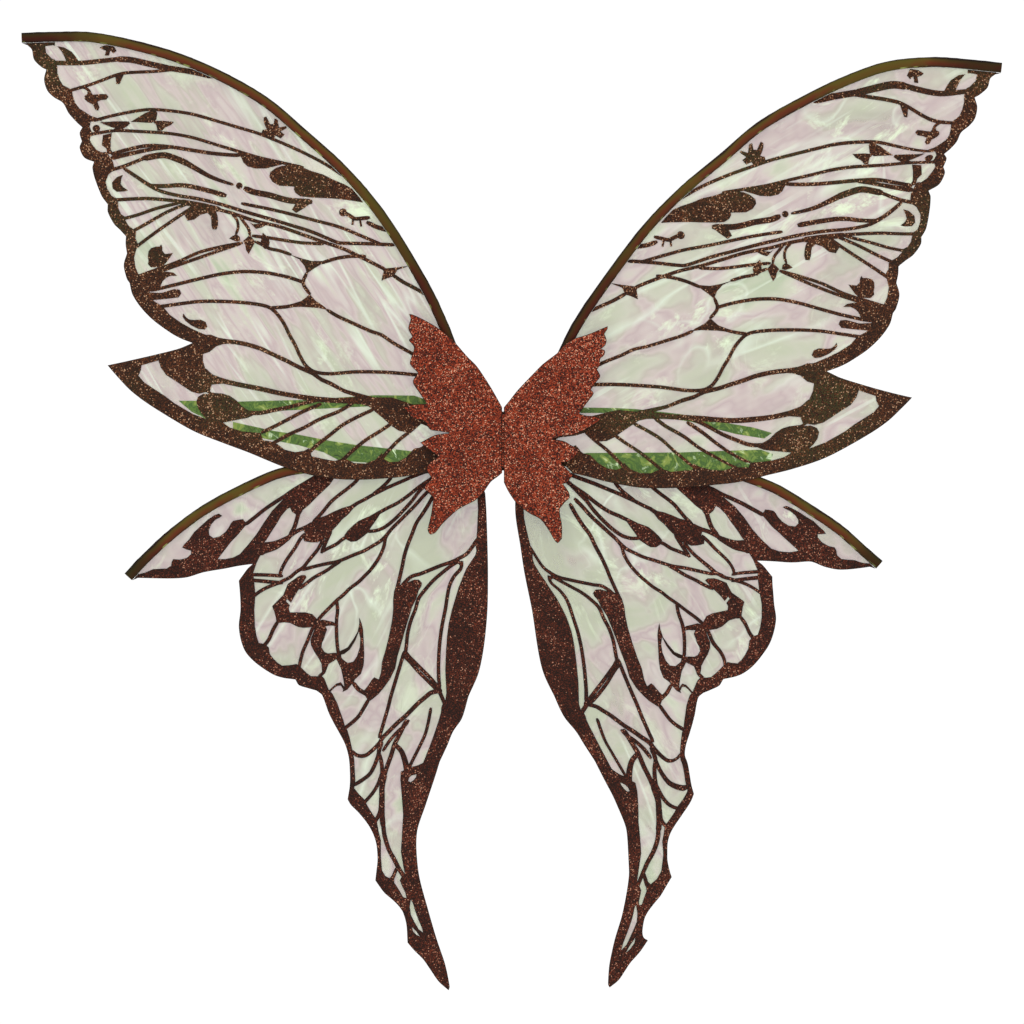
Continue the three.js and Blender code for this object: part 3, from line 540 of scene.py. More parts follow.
# %% Covers, and how the right-hand wings sit
COVER = {
    "left": [line(t) for t in (
        "0.8,32 2,34.2 9.4,47.4 16.8,59.2 24,69.5 31.5,77 40.4,87.2 46.3,94 53.7,99.8 61,105 "
        "71.3,110.8 81,115.3 84.6,116", "84.6,116 83,111.6 85,102.7 81.4,95.4",
        "81.4,95.4 84.6,92.4 80,86 82.4,77", "82.4,77 83.6,71 76.5,63", "76.5,63 81,54.8 75.8,46 "
        "68.4,35", "68.4,35 80,34.5 89.8,32", "89.8,32 85.4,26.8 80,21.6 71.3,20 65.5,12 58,10.6 "
        "47.8,9", "47.8,9 61,7 74.3,0.3", "74.3,0.3 70,-3.4 58,-12.3", "58,-12.3 65.5,-17.4 "
        "69,-23 64,-32", "64,-32 71.3,-39.5 67,-45 62.5,-49", "62.5,-49 64.7,-64.6 67.7,-78 "
        "65.5,-82.3 61,-80.8 53.7,-72 40.4,-60 25.6,-52 18.3,-45.4 10.9,-35 4.3,-30 0.8,-27")],
    "right": [line(t) for t in (
        "0.8,32 5,37 12,46 17,51.5 28,63 36,71 49,81 54,87 62,93 75,97 92,104 94,105",
        "94,105 94,102.5 91,98", "91,98 93,93 92,88 88,84.5", "88,84.5 91.5,83 91,79 88,76.5",
        "88,76.5 87,74 88,71.5 84.5,66", "84.5,66 87.5,60 84,55 79,48", "79,48 81.5,44.5 "
        "78.5,40 74,34 68.5,26.5", "68.5,26.5 75,24.5 82,24 88.5,22", "88.5,22 84,18 75,12.5 "
        "64,7.5 53,6 44,3.5", "44,3.5 55,1.5 62,-2.5 69,-6", "69,-6 65,-12 58,-17 52,-17.5",
        "52,-17.5 57,-23 63,-29", "63,-29 58,-35 54,-37", "54,-37 59,-44 60,-49 56,-53 51,-59",
        "51,-59 51,-63 53,-74 53,-86", "53,-86 49,-90 46,-87 42,-80 34,-69 26,-64.5 21,-61.5 "
        "12,-54 5,-44 0.8,-35.5")],
}

# A right-hand wing is never quite its twin. Each line is a point of the left-hand wing, out
# and up, and where the same point of the right-hand wing sits.
MATCH = {
    "upper": """434,364.5 449.5,337.5; 411,336 424.5,311; 378.5,284 397,260; 368,253 383,227;
        346.5,218.7 368,188; 339.3,186 356,159; 336,144 351,117; 279.5,90 291.5,64.5;
        355.7,70 368,41; 300,23 314,-1; 252,0 262,-23; 229,-8.6 238,-29; 215,11 219,-16;
        180,-27 188,-38; 174.6,-8 172,-21.5; 144.6,-14.4 144,-24; 126,-33 126,-40.5;
        110,-13.8 110,-22; 65,-27 63,-27.5; 75.4,17.3 75,9; 120.4,36 122,23; 81,79.6 88,71;
        75.4,61 83.5,52.5; 170,64 180,47.5; 209.4,121.5 220,98; 179.4,146 192.6,123.3;
        72,135.5 80.5,120; 100,178.3 115,163.5; 144,207.5 160,187; 200,297.5 218.5,276.5;
        270,338.2 288,317; 330,357.5 346,339; 370,365.5 386,343.3; 400,365.5 415.5,341;
        54.5,108 63,99.5; 237.3,231.5 254,206; 206,282 225,258.5; 228.8,170 243,145.5;
        259.5,193.7 274,166; 297,171 311,142.5; 289.5,134.5 302,107; 264,56 270,27;
        313,300 331,271; 335,289 351,259; 346,234 365,203; 371,312 387,279; 326,65.5 336,38;
        28,40 31,34; 40,-6 40,-10""",
    "lower": """339.5,-123 341,-111.5; 300,-122 302,-114; 226,-109.5 229.5,-106.5;
        281,-98.5 283.5,-83.5; 264.5,-83 266,-72.5; 254,-64.5 253,-57; 232,-73 234.5,-64.5;
        257,-104.5 266,-97; 238,-124 242.7,-120.5; 238,-165 246,-158; 216,-203 225,-201;
        190,-212 201,-211.5; 168,-223 180.5,-225; 147,-262 168,-262; 138,-295 166.5,-289;
        140,-321 172,-316; 113,-372 148,-370; 115,-394 152,-391; 86,-450 130.5,-448;
        48.5,-492.5 95.5,-490; 64,-434 106,-431; 75.5,-390 113.5,-388; 78,-360 112,-357;
        66,-315 98.5,-317; 81,-301 109,-309; 57,-287 83,-287; 65,-241 85,-250;
        31,-228 46,-227.5; 14,-150 26,-150; 14,-90 15.5,-92; 16,-45 11,-52; 25,-92 27,-100;
        37,-109 41.5,-122; 57,-222 75,-234; 88,-189 103,-196.5; 73,-126 81,-135;
        96,-135 105.5,-142; 121,-233 141,-238; 104,-83 105,-91; 180,-113 191,-117.5;
        224,-138 232,-135.5; 200,-119.5 207.5,-118; 178,-119 184,-122; 208,-147 217.5,-143;
        167,-160 180,-163; 218,-184 227.7,-177; 172.5,-180 185.8,-182.5; 183,-200 199.7,-198.5;
        129.5,-158 141,-163; 142,-221 158,-222; 150,-142 156.6,-144.5; 131,-54 132.4,-59;
        180,-87 181.7,-89; 142,-85 142.5,-89.5; 163,-98 167,-101.5; 217,-92 219.4,-90;
        111,-268 135,-272; 135,-278 159,-281; 98,-272 122,-280; 131,-307 163,-312;
        114,-340 146,-345; 88,-393 120.7,-401.5; 102,-392 133,-397.5; 72,-441 106.5,-457;
        28,-6 27,-9; 240,-44.3 243,-40; 270,-61 273,-57.7; 300,-83.5 303,-78;
        150,-22 150,-25; 90,-19 90,-23""",
}


def bent_plate(text):
    """A thin plate bent through the matched points, as the shift of any drawn point."""
    pairs = np.array([[c for p in line(pair) for c in p] for pair in text.split(";")])
    start, shift = pairs[:, :2], pairs[:, 2:] - pairs[:, :2]

    def near(a, b):
        d = np.linalg.norm(a[:, None] - b[None], axis=2) / 100
        return d * d * np.log(np.maximum(d, 1e-9))

    flat = np.hstack([np.ones((len(start), 1)), start / 100])
    square = np.block([[near(start, start), flat], [flat.T, np.zeros((3, 3))]])
    found = np.linalg.solve(square, np.vstack([shift, np.zeros((3, 2))]))

    def moved(points):
        points = np.asarray(points, float)
        rows = np.hstack([near(points, start), np.ones((len(points), 1)), points / 100])
        return points + rows @ found
    return moved


SET = {level: bent_plate(text) for level, text in MATCH.items()}


def settle(side, level, points):
    """Drawn points put on their side of the crease."""
    points = np.asarray(points, float)
    return SET[level](points) if side == "right" else points * (-1, 1)


print("right-hand tip", settle("right", "upper", [(434, 364.5)]).round(1).tolist())

# %% [markdown]
# ## From a drawing to a sheet
# A cut sheet is a flat drawing with thickness. The drawing is filled with triangles in one go:
# a triangle belongs to the sheet when it lies in the outline and in no opening, or in any of
# the strips and leaves. Doing all of it flat keeps the joins between strips clean, the way one
# blade cuts them. The flat sheet is then extruded to its thickness, and its rim drawn in a
# little, because a cut edge of glitter fabric curls and shows dark.

# %% Drawing helpers
def smooth(points, step=2.0):
    """A soft curve through the drawn points, with a point about every `step` mm."""
    points = [Vector((*p, 0)) for p in points]
    if len(points) < 3:
        return [tuple(p.xy) for p in points]
    ends = [2 * points[0] - points[1]] + points + [2 * points[-1] - points[-2]]
    made = []
    for a, b, c, d in zip(ends, ends[1:], ends[2:], ends[3:]):
        count = max(1, round((c - b).length / step))
        pull = min(1.0, (c - b).length / max((d - c).length, 1e-6)), min(
            1.0, (c - b).length / max((b - a).length, 1e-6))
        start = (c - a) * 0.5 * pull[1]
        end = (d - b) * 0.5 * pull[0]
        for i in range(count):
            t = i / count
            made.append(tuple((
                b * (2 * t**3 - 3 * t**2 + 1) + start * (t**3 - 2 * t**2 + t)
                + c * (3 * t**2 - 2 * t**3) + end * (t**3 - t**2)).xy))
    made.append(tuple(points[-1].xy))
    return made


def looped(points, step=2.0):
    """A closed outline with its corners only just softened."""
    count = len(points)
    made = []
    for i in range(count):
        a, b = Vector(points[i]), Vector(points[(i + 1) % count])
        steps = max(1, round((b - a).length / (2 * step)))
        made += [tuple(a.lerp(b, k / steps)) for k in range(steps)]
    return made


def ribbon(points, wide_from, wide_to=None):
    """A line given width, as an outline with rounded ends."""
    wide_to = wide_from if wide_to is None else wide_to
    points = [Vector(p) for p in points]
    left, right = [], []
    for i, p in enumerate(points):
        along = (points[min(i + 1, len(points) - 1)] - points[max(i - 1, 0)]).normalized()
        half = 0.5 * (wide_from + (wide_to - wide_from) * i / (len(points) - 1))
        across = Vector((-along.y, along.x)) * half
        if i in (0, len(points) - 1):
            across *= 0.6
            p = p + along * half * (0.5 if i else -0.5)
        left.append(tuple(p + across))
        right.append(tuple(p - across))
    return left + right[::-1]


EXTRA_WIDE = 1.0      # what a blade adds round a drawn line


def strips(text):
    made = []
    for row in text.strip().splitlines():
        widths, points = row.split(":")
        widths = [float(w) + EXTRA_WIDE for w in widths.split()]
        made.append(ribbon(smooth(line(points)), *widths))
    return made


def disc(x, z, radius, count=14):
    return [(x + radius * math.cos(math.tau * i / count),
             z + radius * math.sin(math.tau * i / count)) for i in range(count)]


SHAPES = {
    "upper": strips(UPPER_VEINS) + [looped(line(t)) for t in UPPER_LEAVES.strip().splitlines()]
    + [disc(*dot) for dot in UPPER_DOTS],
    "lower": strips(LOWER_VEINS) + [looped(line(t)) for t in LOWER_LEAVES.strip().splitlines()],
}
FIELDS = {level: [looped(field) for field in fields]
          for level, fields in (("upper", UPPER_FIELDS), ("lower", LOWER_FIELDS))}


def joined(runs, step=2.0):
    """Smooth runs end to end, each meeting the next in a point."""
    made = []
    for run in runs:
        made += smooth(run, step)[:-1]
    return made + [tuple(runs[-1][-1])]


def spar_line(side, level, share=1.0, step=3.0):
    """The spar's centre line, tip first, cut off at a share of its length."""
    points = [Vector(p) for p in smooth(settle(side, level, SPAR[level]).tolist(), step)]
    total = sum((b - a).length for a, b in zip(points, points[1:]))
    kept, gone = [points[0]], 0.0
    for a, b in zip(points, points[1:]):
        gone += (b - a).length
        if gone > total * share:
            break
        kept.append(b)
    return kept


def beside_spar(side, level, off):
    """A line beside the spar, `off` mm towards the free edge."""
    points = spar_line(side, level, SLEEVE_END[level])
    turn = 1 if side == "right" else -1
    made = []
    for i, p in enumerate(points):
        along = (points[min(i + 1, len(points) - 1)] - points[max(i - 1, 0)]).normalized()
        made.append(tuple(p + turn * off * Vector((-along.y, along.x))))
    return made


def wing_outline(side, level, off):
    edge = settle(side, level, joined(EDGE[level])).tolist()
    return [tuple(p) for p in edge] + beside_spar(side, level, off)[::-1]


def area_of(outline):
    return 0.5 * sum(a[0] * b[1] - b[0] * a[1] for a, b in zip(outline, outline[1:] + outline[:1]))


def fill(outline, holes, shapes, grid=None):
    """Triangles inside the outline, out of the holes, or in one of the shapes."""
    faces = [outline] + holes + shapes
    points, loops = [], []
    for loop in faces:
        loop = loop if area_of(loop) > 0 else loop[::-1]
        loops.append(list(range(len(points), len(points) + len(loop))))
        points += [Vector(p) for p in loop]
    if grid:
        points += [Vector(p) for p in grid]
    verts, _, tris, _, _, sources = delaunay_2d_cdt(points, [], loops, 0, 0.05)
    first_shape = 1 + len(holes)
    kept = []
    for tri, source in zip(tris, sources):
        in_sheet = 0 in source and not any(0 < s < first_shape for s in source)
        if source and (in_sheet or any(s >= first_shape for s in source) and 0 in source):
            kept.append(tri)
    return [tuple(v) for v in verts], kept


def mesh_object(name, verts, faces):
    mesh = bpy.data.meshes.new(name)
    mesh.from_pydata(verts, [], faces)
    mesh.update()
    made = bpy.data.objects.new(name, mesh)
    bpy.context.scene.collection.objects.link(made)
    return made


def pick(*objects):
    bpy.ops.object.select_all(action="DESELECT")
    for each in objects:
        each.select_set(True)
    bpy.context.view_layer.objects.active = objects[0]


def flat_sheet(name, drawing, y):
    """A drawing as a flat mesh facing the viewer, with no points left unused."""
    verts, faces = drawing
    made = mesh_object(name, [(x * MM, y * MM, z * MM) for x, z in verts], faces)
    pick(made)
    bpy.ops.object.mode_set(mode="EDIT")
    bpy.ops.mesh.select_all(action="SELECT")
    bpy.ops.mesh.delete_loose()
    bpy.ops.mesh.select_all(action="SELECT")
    bpy.ops.mesh.normals_make_consistent(inside=False)
    bpy.ops.object.mode_set(mode="OBJECT")
    if made.data.polygons[0].normal.y > 0:
        made.data.flip_normals()
    return made


print(len(SHAPES["upper"]), "upper and", len(SHAPES["lower"]), "lower strips and leaves")

# %% [markdown]
# ## Materials
# ### Glitter
# Glitter fabric is flakes of coloured foil glued at slightly different tilts. Seen from here
# most flakes are dark and a few catch the light. Small cells stand for the flakes: each has
# its own colour and its own tilt, and the tilt goes into the normal, so the lamps pick out
# different flakes as the wing turns. A share of the cells is also painted bright, as glints
# that stay put whatever the light. The cut edge has its own dark slot on the same mesh.

# %% Glitter
def glitter(name, dark, base, bright, glint_colour, flake, share, olive_patched=False, blotchy=0.5):
    paint = Paint(name)
    place = paint.place()
    colour = paint.cells(place, flake)
    parts = [paint.node("ShaderNodeSeparateColor", {}, [colour], i) for i in range(3)]
    patch = paint.noise(place, 40, 3.0, 0.6)
    tone = parts[0] * 0.8 + patch * blotchy + 0.1 - blotchy / 2
    body = paint.ramp(tone, ((0.0, dark), (0.35, dark), (0.62, base), (0.95, bright)))
    # Olive-green patches laid over some cells of the glitter colour.
    if olive_patched:
        olive_patch = ((paint.noise(place, 11, 2.0) - 0.53).clamp() * 5).clamp() * (parts[2] > 0.45)
        body = paint.mix(olive_patch * 0.7, body, linear(62, 66, 30))
    # A share of the cells is painted bright in the colour: painted glints that stay put whatever the
    # light, made a little less rough.
    glint_flakes = (parts[1] * 0.85 + patch * 0.3) > share
    tint = paint.mix(parts[2], glint_colour, bright)
    paint.set(Base_Color=paint.mix(glint_flakes, body, tint), Metallic=0.2, Specular_IOR_Level=0.25,
              Roughness=0.7 - glint_flakes * 0.2)
    tilt = paint.node("ShaderNodeVectorMath", {"operation": "SUBTRACT"}, [colour, (0.5, 0.5, 0.5)])
    tilt = paint.node("ShaderNodeVectorMath", {"operation": "MULTIPLY"}, [tilt, (0.9, 0.2, 0.9)])
    face = paint.node("ShaderNodeNewGeometry", out="Normal")
    bent = paint.node("ShaderNodeVectorMath", {"operation": "ADD"}, [face, tilt])
    bent = paint.node("ShaderNodeVectorMath", {"operation": "NORMALIZE"}, [bent])
    paint.set(Normal=bent)
    return paint.material


# The fourth colour given to each glitter below is the colour of its painted glints.
VEIN_GLITTER = {
    "upper": glitter("vein_glitter_upper", linear(36, 18, 6), linear(60, 31, 13),
                     linear(114, 62, 30), linear(214, 172, 134), 1300, 0.955, olive_patched=True),
    "lower": glitter("vein_glitter_lower", linear(32, 12, 4), linear(58, 24, 10),
                     linear(112, 46, 24), linear(206, 150, 120), 1300, 0.96),
}
COVER_GLITTER = glitter("cover_glitter", linear(50, 14, 5), linear(124, 42, 16),
                        linear(180, 74, 40), linear(248, 196, 160), 1150, 0.92,
                        blotchy=0.2)

# %% Cut edges
edge_paint = Paint("cut_edge")
speck = edge_paint.noise(edge_paint.place(), 900, 2.0)
edge_paint.set(Base_Color=edge_paint.ramp(speck, (
    (0.35, linear(22, 13, 8)), (0.62, linear(46, 28, 18)))), Roughness=0.8,
    Specular_IOR_Level=0.15)
EDGE_PAINT = edge_paint.material
print("glitter", VEIN_GLITTER["upper"].name, COVER_GLITTER.name)

# %% [markdown]
# ### Film
# The membrane is a stretched clear film with a thin metal-oxide coat, so it throws soft
# lilac and grey-green patches with mint glints, and its creases catch the light as pale lines.
# Large soft noise gives the patches. The pale crease lines and the mint-white glints are
# painted highlights, drawn by thin stretched noise, and darker patches are painted shade.
# The film lets a little light through, so what lies behind it shows faintly.

# %% Film
FACE_ALPHA = 0.5                          # of one face: light crosses two
THROUGH = (1 - FACE_ALPHA) ** 2


def tint(red, green, blue, depth=1.0):
    """The film's own colour where it is to look like this with white light behind it."""
    return tuple(max(0.0, (v * depth - THROUGH) / (1 - THROUGH))
                 for v in linear(red, green, blue)[:3]) + (1,)


def film(name, turn, seed, across, curl, depth, green, spread):
    paint = Paint(name)
    place = paint.turn(paint.place(), (1, 1, 1), 0, (seed, 0, seed * 0.7))
    swirl = paint.noise(place, 14, 3.0, 0.5, curl * 0.9)
    bands = paint.noise(paint.turn(place, (5, 1, across), turn), 1.0, 3.0, 0.6, curl * 0.3)
    tone = swirl * (0.2 + 0.5 * curl) + bands * (0.8 - 0.5 * curl)
    tone = (tone - 0.5) * spread + 0.5 - green
    body = paint.ramp(tone, [(at, tint(*colour, depth)) for at, colour in (
        (0.36, (196, 201, 176)), (0.44, (204, 204, 186)), (0.48, (197, 190, 177)),
        (0.51, (209, 197, 190)), (0.55, (199, 182, 180)), (0.59, (211, 199, 193)),
        (0.64, (209, 209, 190)), (0.71, (190, 199, 172)))])
    crease = (paint.noise(paint.turn(place, (3, 1, across), turn - 3), 1.0, 2.0, 0.45,
                          curl * 0.6) - 0.5).abs()
    fold = (paint.noise(place, 12, 2.0, 0.5, curl * 0.8) - 0.5).abs()
    here = ((paint.noise(place, 10, 1.0) - 0.46).clamp() * 7).clamp()
    there = ((paint.noise(place, 8, 1.0, 0.5, 0.4) - 0.5).clamp() * 6).clamp()
    # Pale lines along the creases: painted highlights.
    crease_highlight = ((1.0 - crease * 34).clamp() * here * (1.0 - 0.4 * curl)
              + (1.0 - fold * 46).clamp() * there * curl).clamp()
    # Fine pale streaks: painted highlights.
    fine = ((paint.noise(paint.turn(place, (7, 1, 130), turn + 2), 1.0, 2.0) - 0.56).clamp()
            * 12).clamp() * ((paint.noise(place, 11, 1.0) - 0.5).clamp() * 8).clamp()
    # Mint-white patches: painted highlights where the film glints.
    highlight_patch = ((paint.noise(paint.turn(place, (16, 1, 30), turn + 8, (3, 0, 1)), 1.0, 5.0, 0.72,
                         0.3 + curl * 0.6) - 0.545).clamp() * 9).clamp()
    highlight_patch = highlight_patch * (0.35 + there * 0.65)
    # Darker patches: painted shade.
    shade = ((0.47 - paint.noise(paint.turn(place, (9, 1, 22), turn - 6), 1.0, 3.0, 0.6, curl))
             .clamp() * 5).clamp()
    colour = paint.mix(shade * 0.5, body, tint(176, 172, 158))
    colour = paint.mix(highlight_patch * 0.95, colour, tint(238, 252, 220))
    colour = paint.mix((crease_highlight * 0.7 + fine * (0.7 - 0.5 * curl)).clamp(), colour,
                       tint(238, 250, 230))
    paint.set(Base_Color=colour, Roughness=0.36, Specular_IOR_Level=0.3, Alpha=FACE_ALPHA,
              Normal=paint.bump(crease_highlight + highlight_patch * 0.5 + fine, 0.3, 0.0005))
    return paint.material


FILM = {(level, side): film(f"film_{level}_{side}", *look) for level, side, *look in (
    ("upper", "left", -55, 1.3, 40, 0.12, 1.05, -0.01, 1.3),
    ("upper", "right", 28, 4.1, 20, 0.6, 1.05, 0.0, 1.3),
    ("lower", "left", 62, 7.7, 18, 0.7, 0.99, 0.01, 1.7),
    ("lower", "right", -60, 9.2, 18, 0.8, 0.99, 0.01, 1.7))}
print(len(FILM), "film materials")

# %% [markdown]
# ## Vein sheets
# One glitter sheet per wing, cut with a blade and glued on the front of the film. The drawing
# is filled twice: once whole, and once with every edge drawn in by half a millimetre. What
# lies between the two is the dark cut edge, so the sheet looks cut and not printed.

# %% Cut the vein sheets
SLEEVE_WIDE, SLEEVE_THICK, SLEEVE_GAP = 9.0, 4.6, 0.3
FILM_THICK, VEIN_THICK = 0.4, 0.6
LAYER = {level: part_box(f"{level}_film_left")[1][1] / MM for level in LEVELS}
RIM = 0.55


def drawn_in(loop, by):
    """An outline moved inwards by so many mm, or outwards if less than nothing."""
    loop = loop if area_of(loop) > 0 else loop[::-1]
    made = []
    for i, p in enumerate(loop):
        before, after = Vector(loop[i - 1]), Vector(loop[(i + 1) % len(loop)])
        along = (after - before).normalized()
        made.append(tuple(Vector(p) + by * Vector((-along.y, along.x))))
    return made


def cut_sheet(name, outline, holes, shapes, back, thick, grid=None):
    """A sheet with a cut edge: slot 0 is its face and slot 1 its edge."""
    whole = [outline] + holes + shapes
    core = [drawn_in(outline, RIM)] + [drawn_in(h, -RIM) for h in holes]
    core += [drawn_in(s, RIM) for s in shapes]
    loops, points = [], []
    for loop in whole + core:
        loop = loop if area_of(loop) > 0 else loop[::-1]
        loops.append(list(range(len(points), len(points) + len(loop))))
        points += [Vector(p) for p in loop]
    points += [Vector(p) for p in grid or []]
    verts, _, tris, _, _, sources = delaunay_2d_cdt(points, [], loops, 0, 0.04)
    first = len(whole)
    hole_end = 1 + len(holes)

    def inside(source, start):
        if start not in source:
            return False
        in_hole = any(start < s < start + hole_end for s in source)
        return not in_hole or any(start + hole_end <= s < start + first for s in source)

    faces, slots = [], []
    for tri, source in zip(tris, sources):
        if inside(source, 0):
            faces.append(tri)
            slots.append(0 if inside(source, first) else 1)
    made = flat_sheet(name, ([tuple(v) for v in verts], faces), back)
    return made, faces, slots


def thicken(made, thick, offset=1.0):
    """The flat sheet given thickness, towards the viewer or, at -1, away."""
    pick(made)
    solid = made.modifiers.new("thick", "SOLIDIFY")
    solid.thickness = thick * MM
    solid.offset = offset
    bpy.ops.object.modifier_apply(modifier="thick")
    return made


def vein_sheet(side, level):
    name = f"{level}_glitter_veins_{side}"
    back = LAYER[level] - FILM_THICK
    outline = wing_outline(side, level, SLEEVE_WIDE / 2 + SLEEVE_GAP)
    holes = [settle(side, level, f).tolist() for f in FIELDS[level]]
    shapes = [settle(side, level, s).tolist() for s in SHAPES[level]]
    made, _, slots = cut_sheet(name, outline, holes, shapes, back, VEIN_THICK)
    made.data.materials.append(VEIN_GLITTER[level])
    made.data.materials.append(EDGE_PAINT)
    made.data.polygons.foreach_set("material_index", slots)
    thicken(made, VEIN_THICK)
    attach(made, f"{level}_{side}")
    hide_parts(f"{level}_veins_{side}")
    return made


vein_sheets = [vein_sheet(side, level) for side in SIDES for level in LEVELS]
for made in vein_sheets:
    print(made.name, len(made.data.polygons), "faces")

# %% [markdown]
# ## Film
# The film is one sheet per wing, glued along the free edge and caught in the casing at the
# spar. Between, it never lies flat: it is creased where it was folded. Each film is filled
# with a fine grid of points, and noise pushes the points back a fraction of a millimetre,
# away from the vein sheet glued on its front.

# %% Stretch the films
SKIN_THICK = 0.08
GLUE_GAP = 0.02
CREASE_DEEP = 0.55
EDGE_CALM = 14


def wrinkle(x, z, turn, seed):
    """How far back the film lies here, 0 to 1: long ridges one way, softer swells the other."""
    c, s = math.cos(math.radians(turn)), math.sin(math.radians(turn))
    along, across = x * c + z * s, -x * s + z * c
    bent = noise.noise(Vector((x / 60, z / 60, seed))) * 14
    ridge = 1 - abs(noise.noise(Vector((along / 90, (across + bent) / 16, seed)))) * 2.4
    swell = 0.5 + 0.5 * noise.noise(Vector((x / 34, z / 34, seed + 9)))
    return max(0.0, min(1.0, 0.5 * swell + 0.6 * max(ridge, 0) ** 3))


def blank_size(outline):
    """The smallest oblong of film, in metres, that the wing can be cut from."""
    points = np.array(outline) * MM
    best = None
    for angle in np.radians(np.arange(0, 90, 3)):
        turned = points @ np.array(((math.cos(angle), -math.sin(angle)),
                                    (math.sin(angle), math.cos(angle))))
        size = turned.max(0) - turned.min(0)
        if best is None or size.prod() < best.prod():
            best = size
    return tuple(float(v) for v in best)


def film_sheet(side, level, turn, seed):
    outline = wing_outline(side, level, 0.4 - SLEEVE_WIDE / 2)
    xs, zs = [p[0] for p in outline], [p[1] for p in outline]
    step = 3.6
    grid = [(x + step / 4 * math.sin(13.7 * z), z + step / 4 * math.sin(7.9 * x))
            for x in np.arange(min(xs), max(xs), step) for z in np.arange(min(zs), max(zs), step)]
    edge = np.array(outline)
    verts, faces = fill(outline, [], [], grid)
    front = LAYER[level] - FILM_THICK + GLUE_GAP
    made = flat_sheet(f"{level}_clear_film_{side}", (verts, faces), front)
    for v in made.data.vertices:
        x, z = v.co.x / MM, v.co.z / MM
        near = min(1.0, float(np.min(np.hypot(edge[:, 0] - x, edge[:, 1] - z))) / EDGE_CALM)
        v.co.y += CREASE_DEEP * MM * near * wrinkle(x, z, turn, seed)
    thicken(made, SKIN_THICK, offset=-1.0)
    bpy.ops.object.shade_smooth()
    made.data.materials.append(FILM[level, side])
    area = sum(p.area for p in made.data.polygons) / 2
    size = blank_size(outline)
    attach(made, f"{level}_{side}")
    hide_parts(f"{level}_film_{side}")
    print(made.name, [round(v, 3) for v in size], "area", round(area, 4), "m2")
    return made


for side, level, turn, seed in (
        ("left", "upper", -38, 1.3), ("right", "upper", 30, 4.1),
        ("left", "lower", 58, 7.7), ("right", "lower", -62, 9.2)):
    film_sheet(side, level, turn, seed)

# %% [markdown]
# ## Spar casings
# A strip of satin ribbon is folded over the wire and stitched down, so each leading edge is a
# soft flat tube. It is dark where it turns over the wire and olive where it lies flat, and it
# puckers along its inner edge, where the stitches pull it; pale green glints off the film hem
# gathered there are painted into its colour. The tube is made as rings of points along the
# spar, and the drawing of light and dark runs across it in its own UV map.

# %% Sew the casings
satin = Paint("casing_satin")
across = satin.part(satin.uv(), 1)
length = satin.part(satin.uv(), 0)
grain = satin.noise(satin.place(), 300, 2.0)
fold = satin.noise(satin.place(), 26, 3.0, 0.6)
band = across + (fold - 0.5) * 0.5
body = satin.ramp(band, (
    (0.0, linear(30, 18, 8)), (0.16, linear(40, 20, 9)), (0.3, linear(78, 66, 20)),
    (0.45, linear(92, 58, 20)), (0.62, linear(96, 42, 20)), (0.8, linear(82, 42, 18)),
    (1.0, linear(40, 20, 10))))
root = satin.ramp(length + (fold - 0.5) * 0.12, (
    (0.0, linear(70, 30, 22)), (0.05, linear(110, 60, 40)), (0.14, grey(1)), (0.6, grey(1)),
    (0.85, linear(150, 90, 60))))
olive = ((satin.noise(satin.place(), 16, 3.0, 0.6) - 0.47).clamp() * 8).clamp()
body = satin.mix(olive * 0.6 * (across > 0.12), body, linear(84, 78, 22))
body = satin.node("ShaderNodeMix", {"data_type": "RGBA", "blend_type": "MULTIPLY"},
                  {0: 0.7, 6: body, 7: root}, out=2)
# Pale green flecks along the inner edge: painted glints off the gathered film hem.
hem_glint = ((across > 0.8) * (satin.noise(satin.place(), 110, 1.0) - 0.58).clamp() * 9).clamp()
body = satin.mix(hem_glint * 0.6, body, linear(158, 172, 96))
satin.set(Base_Color=body, Roughness=0.6, Specular_IOR_Level=0.12,
          Normal=satin.bump(grain * 0.4 + fold, 0.5, 0.0008))


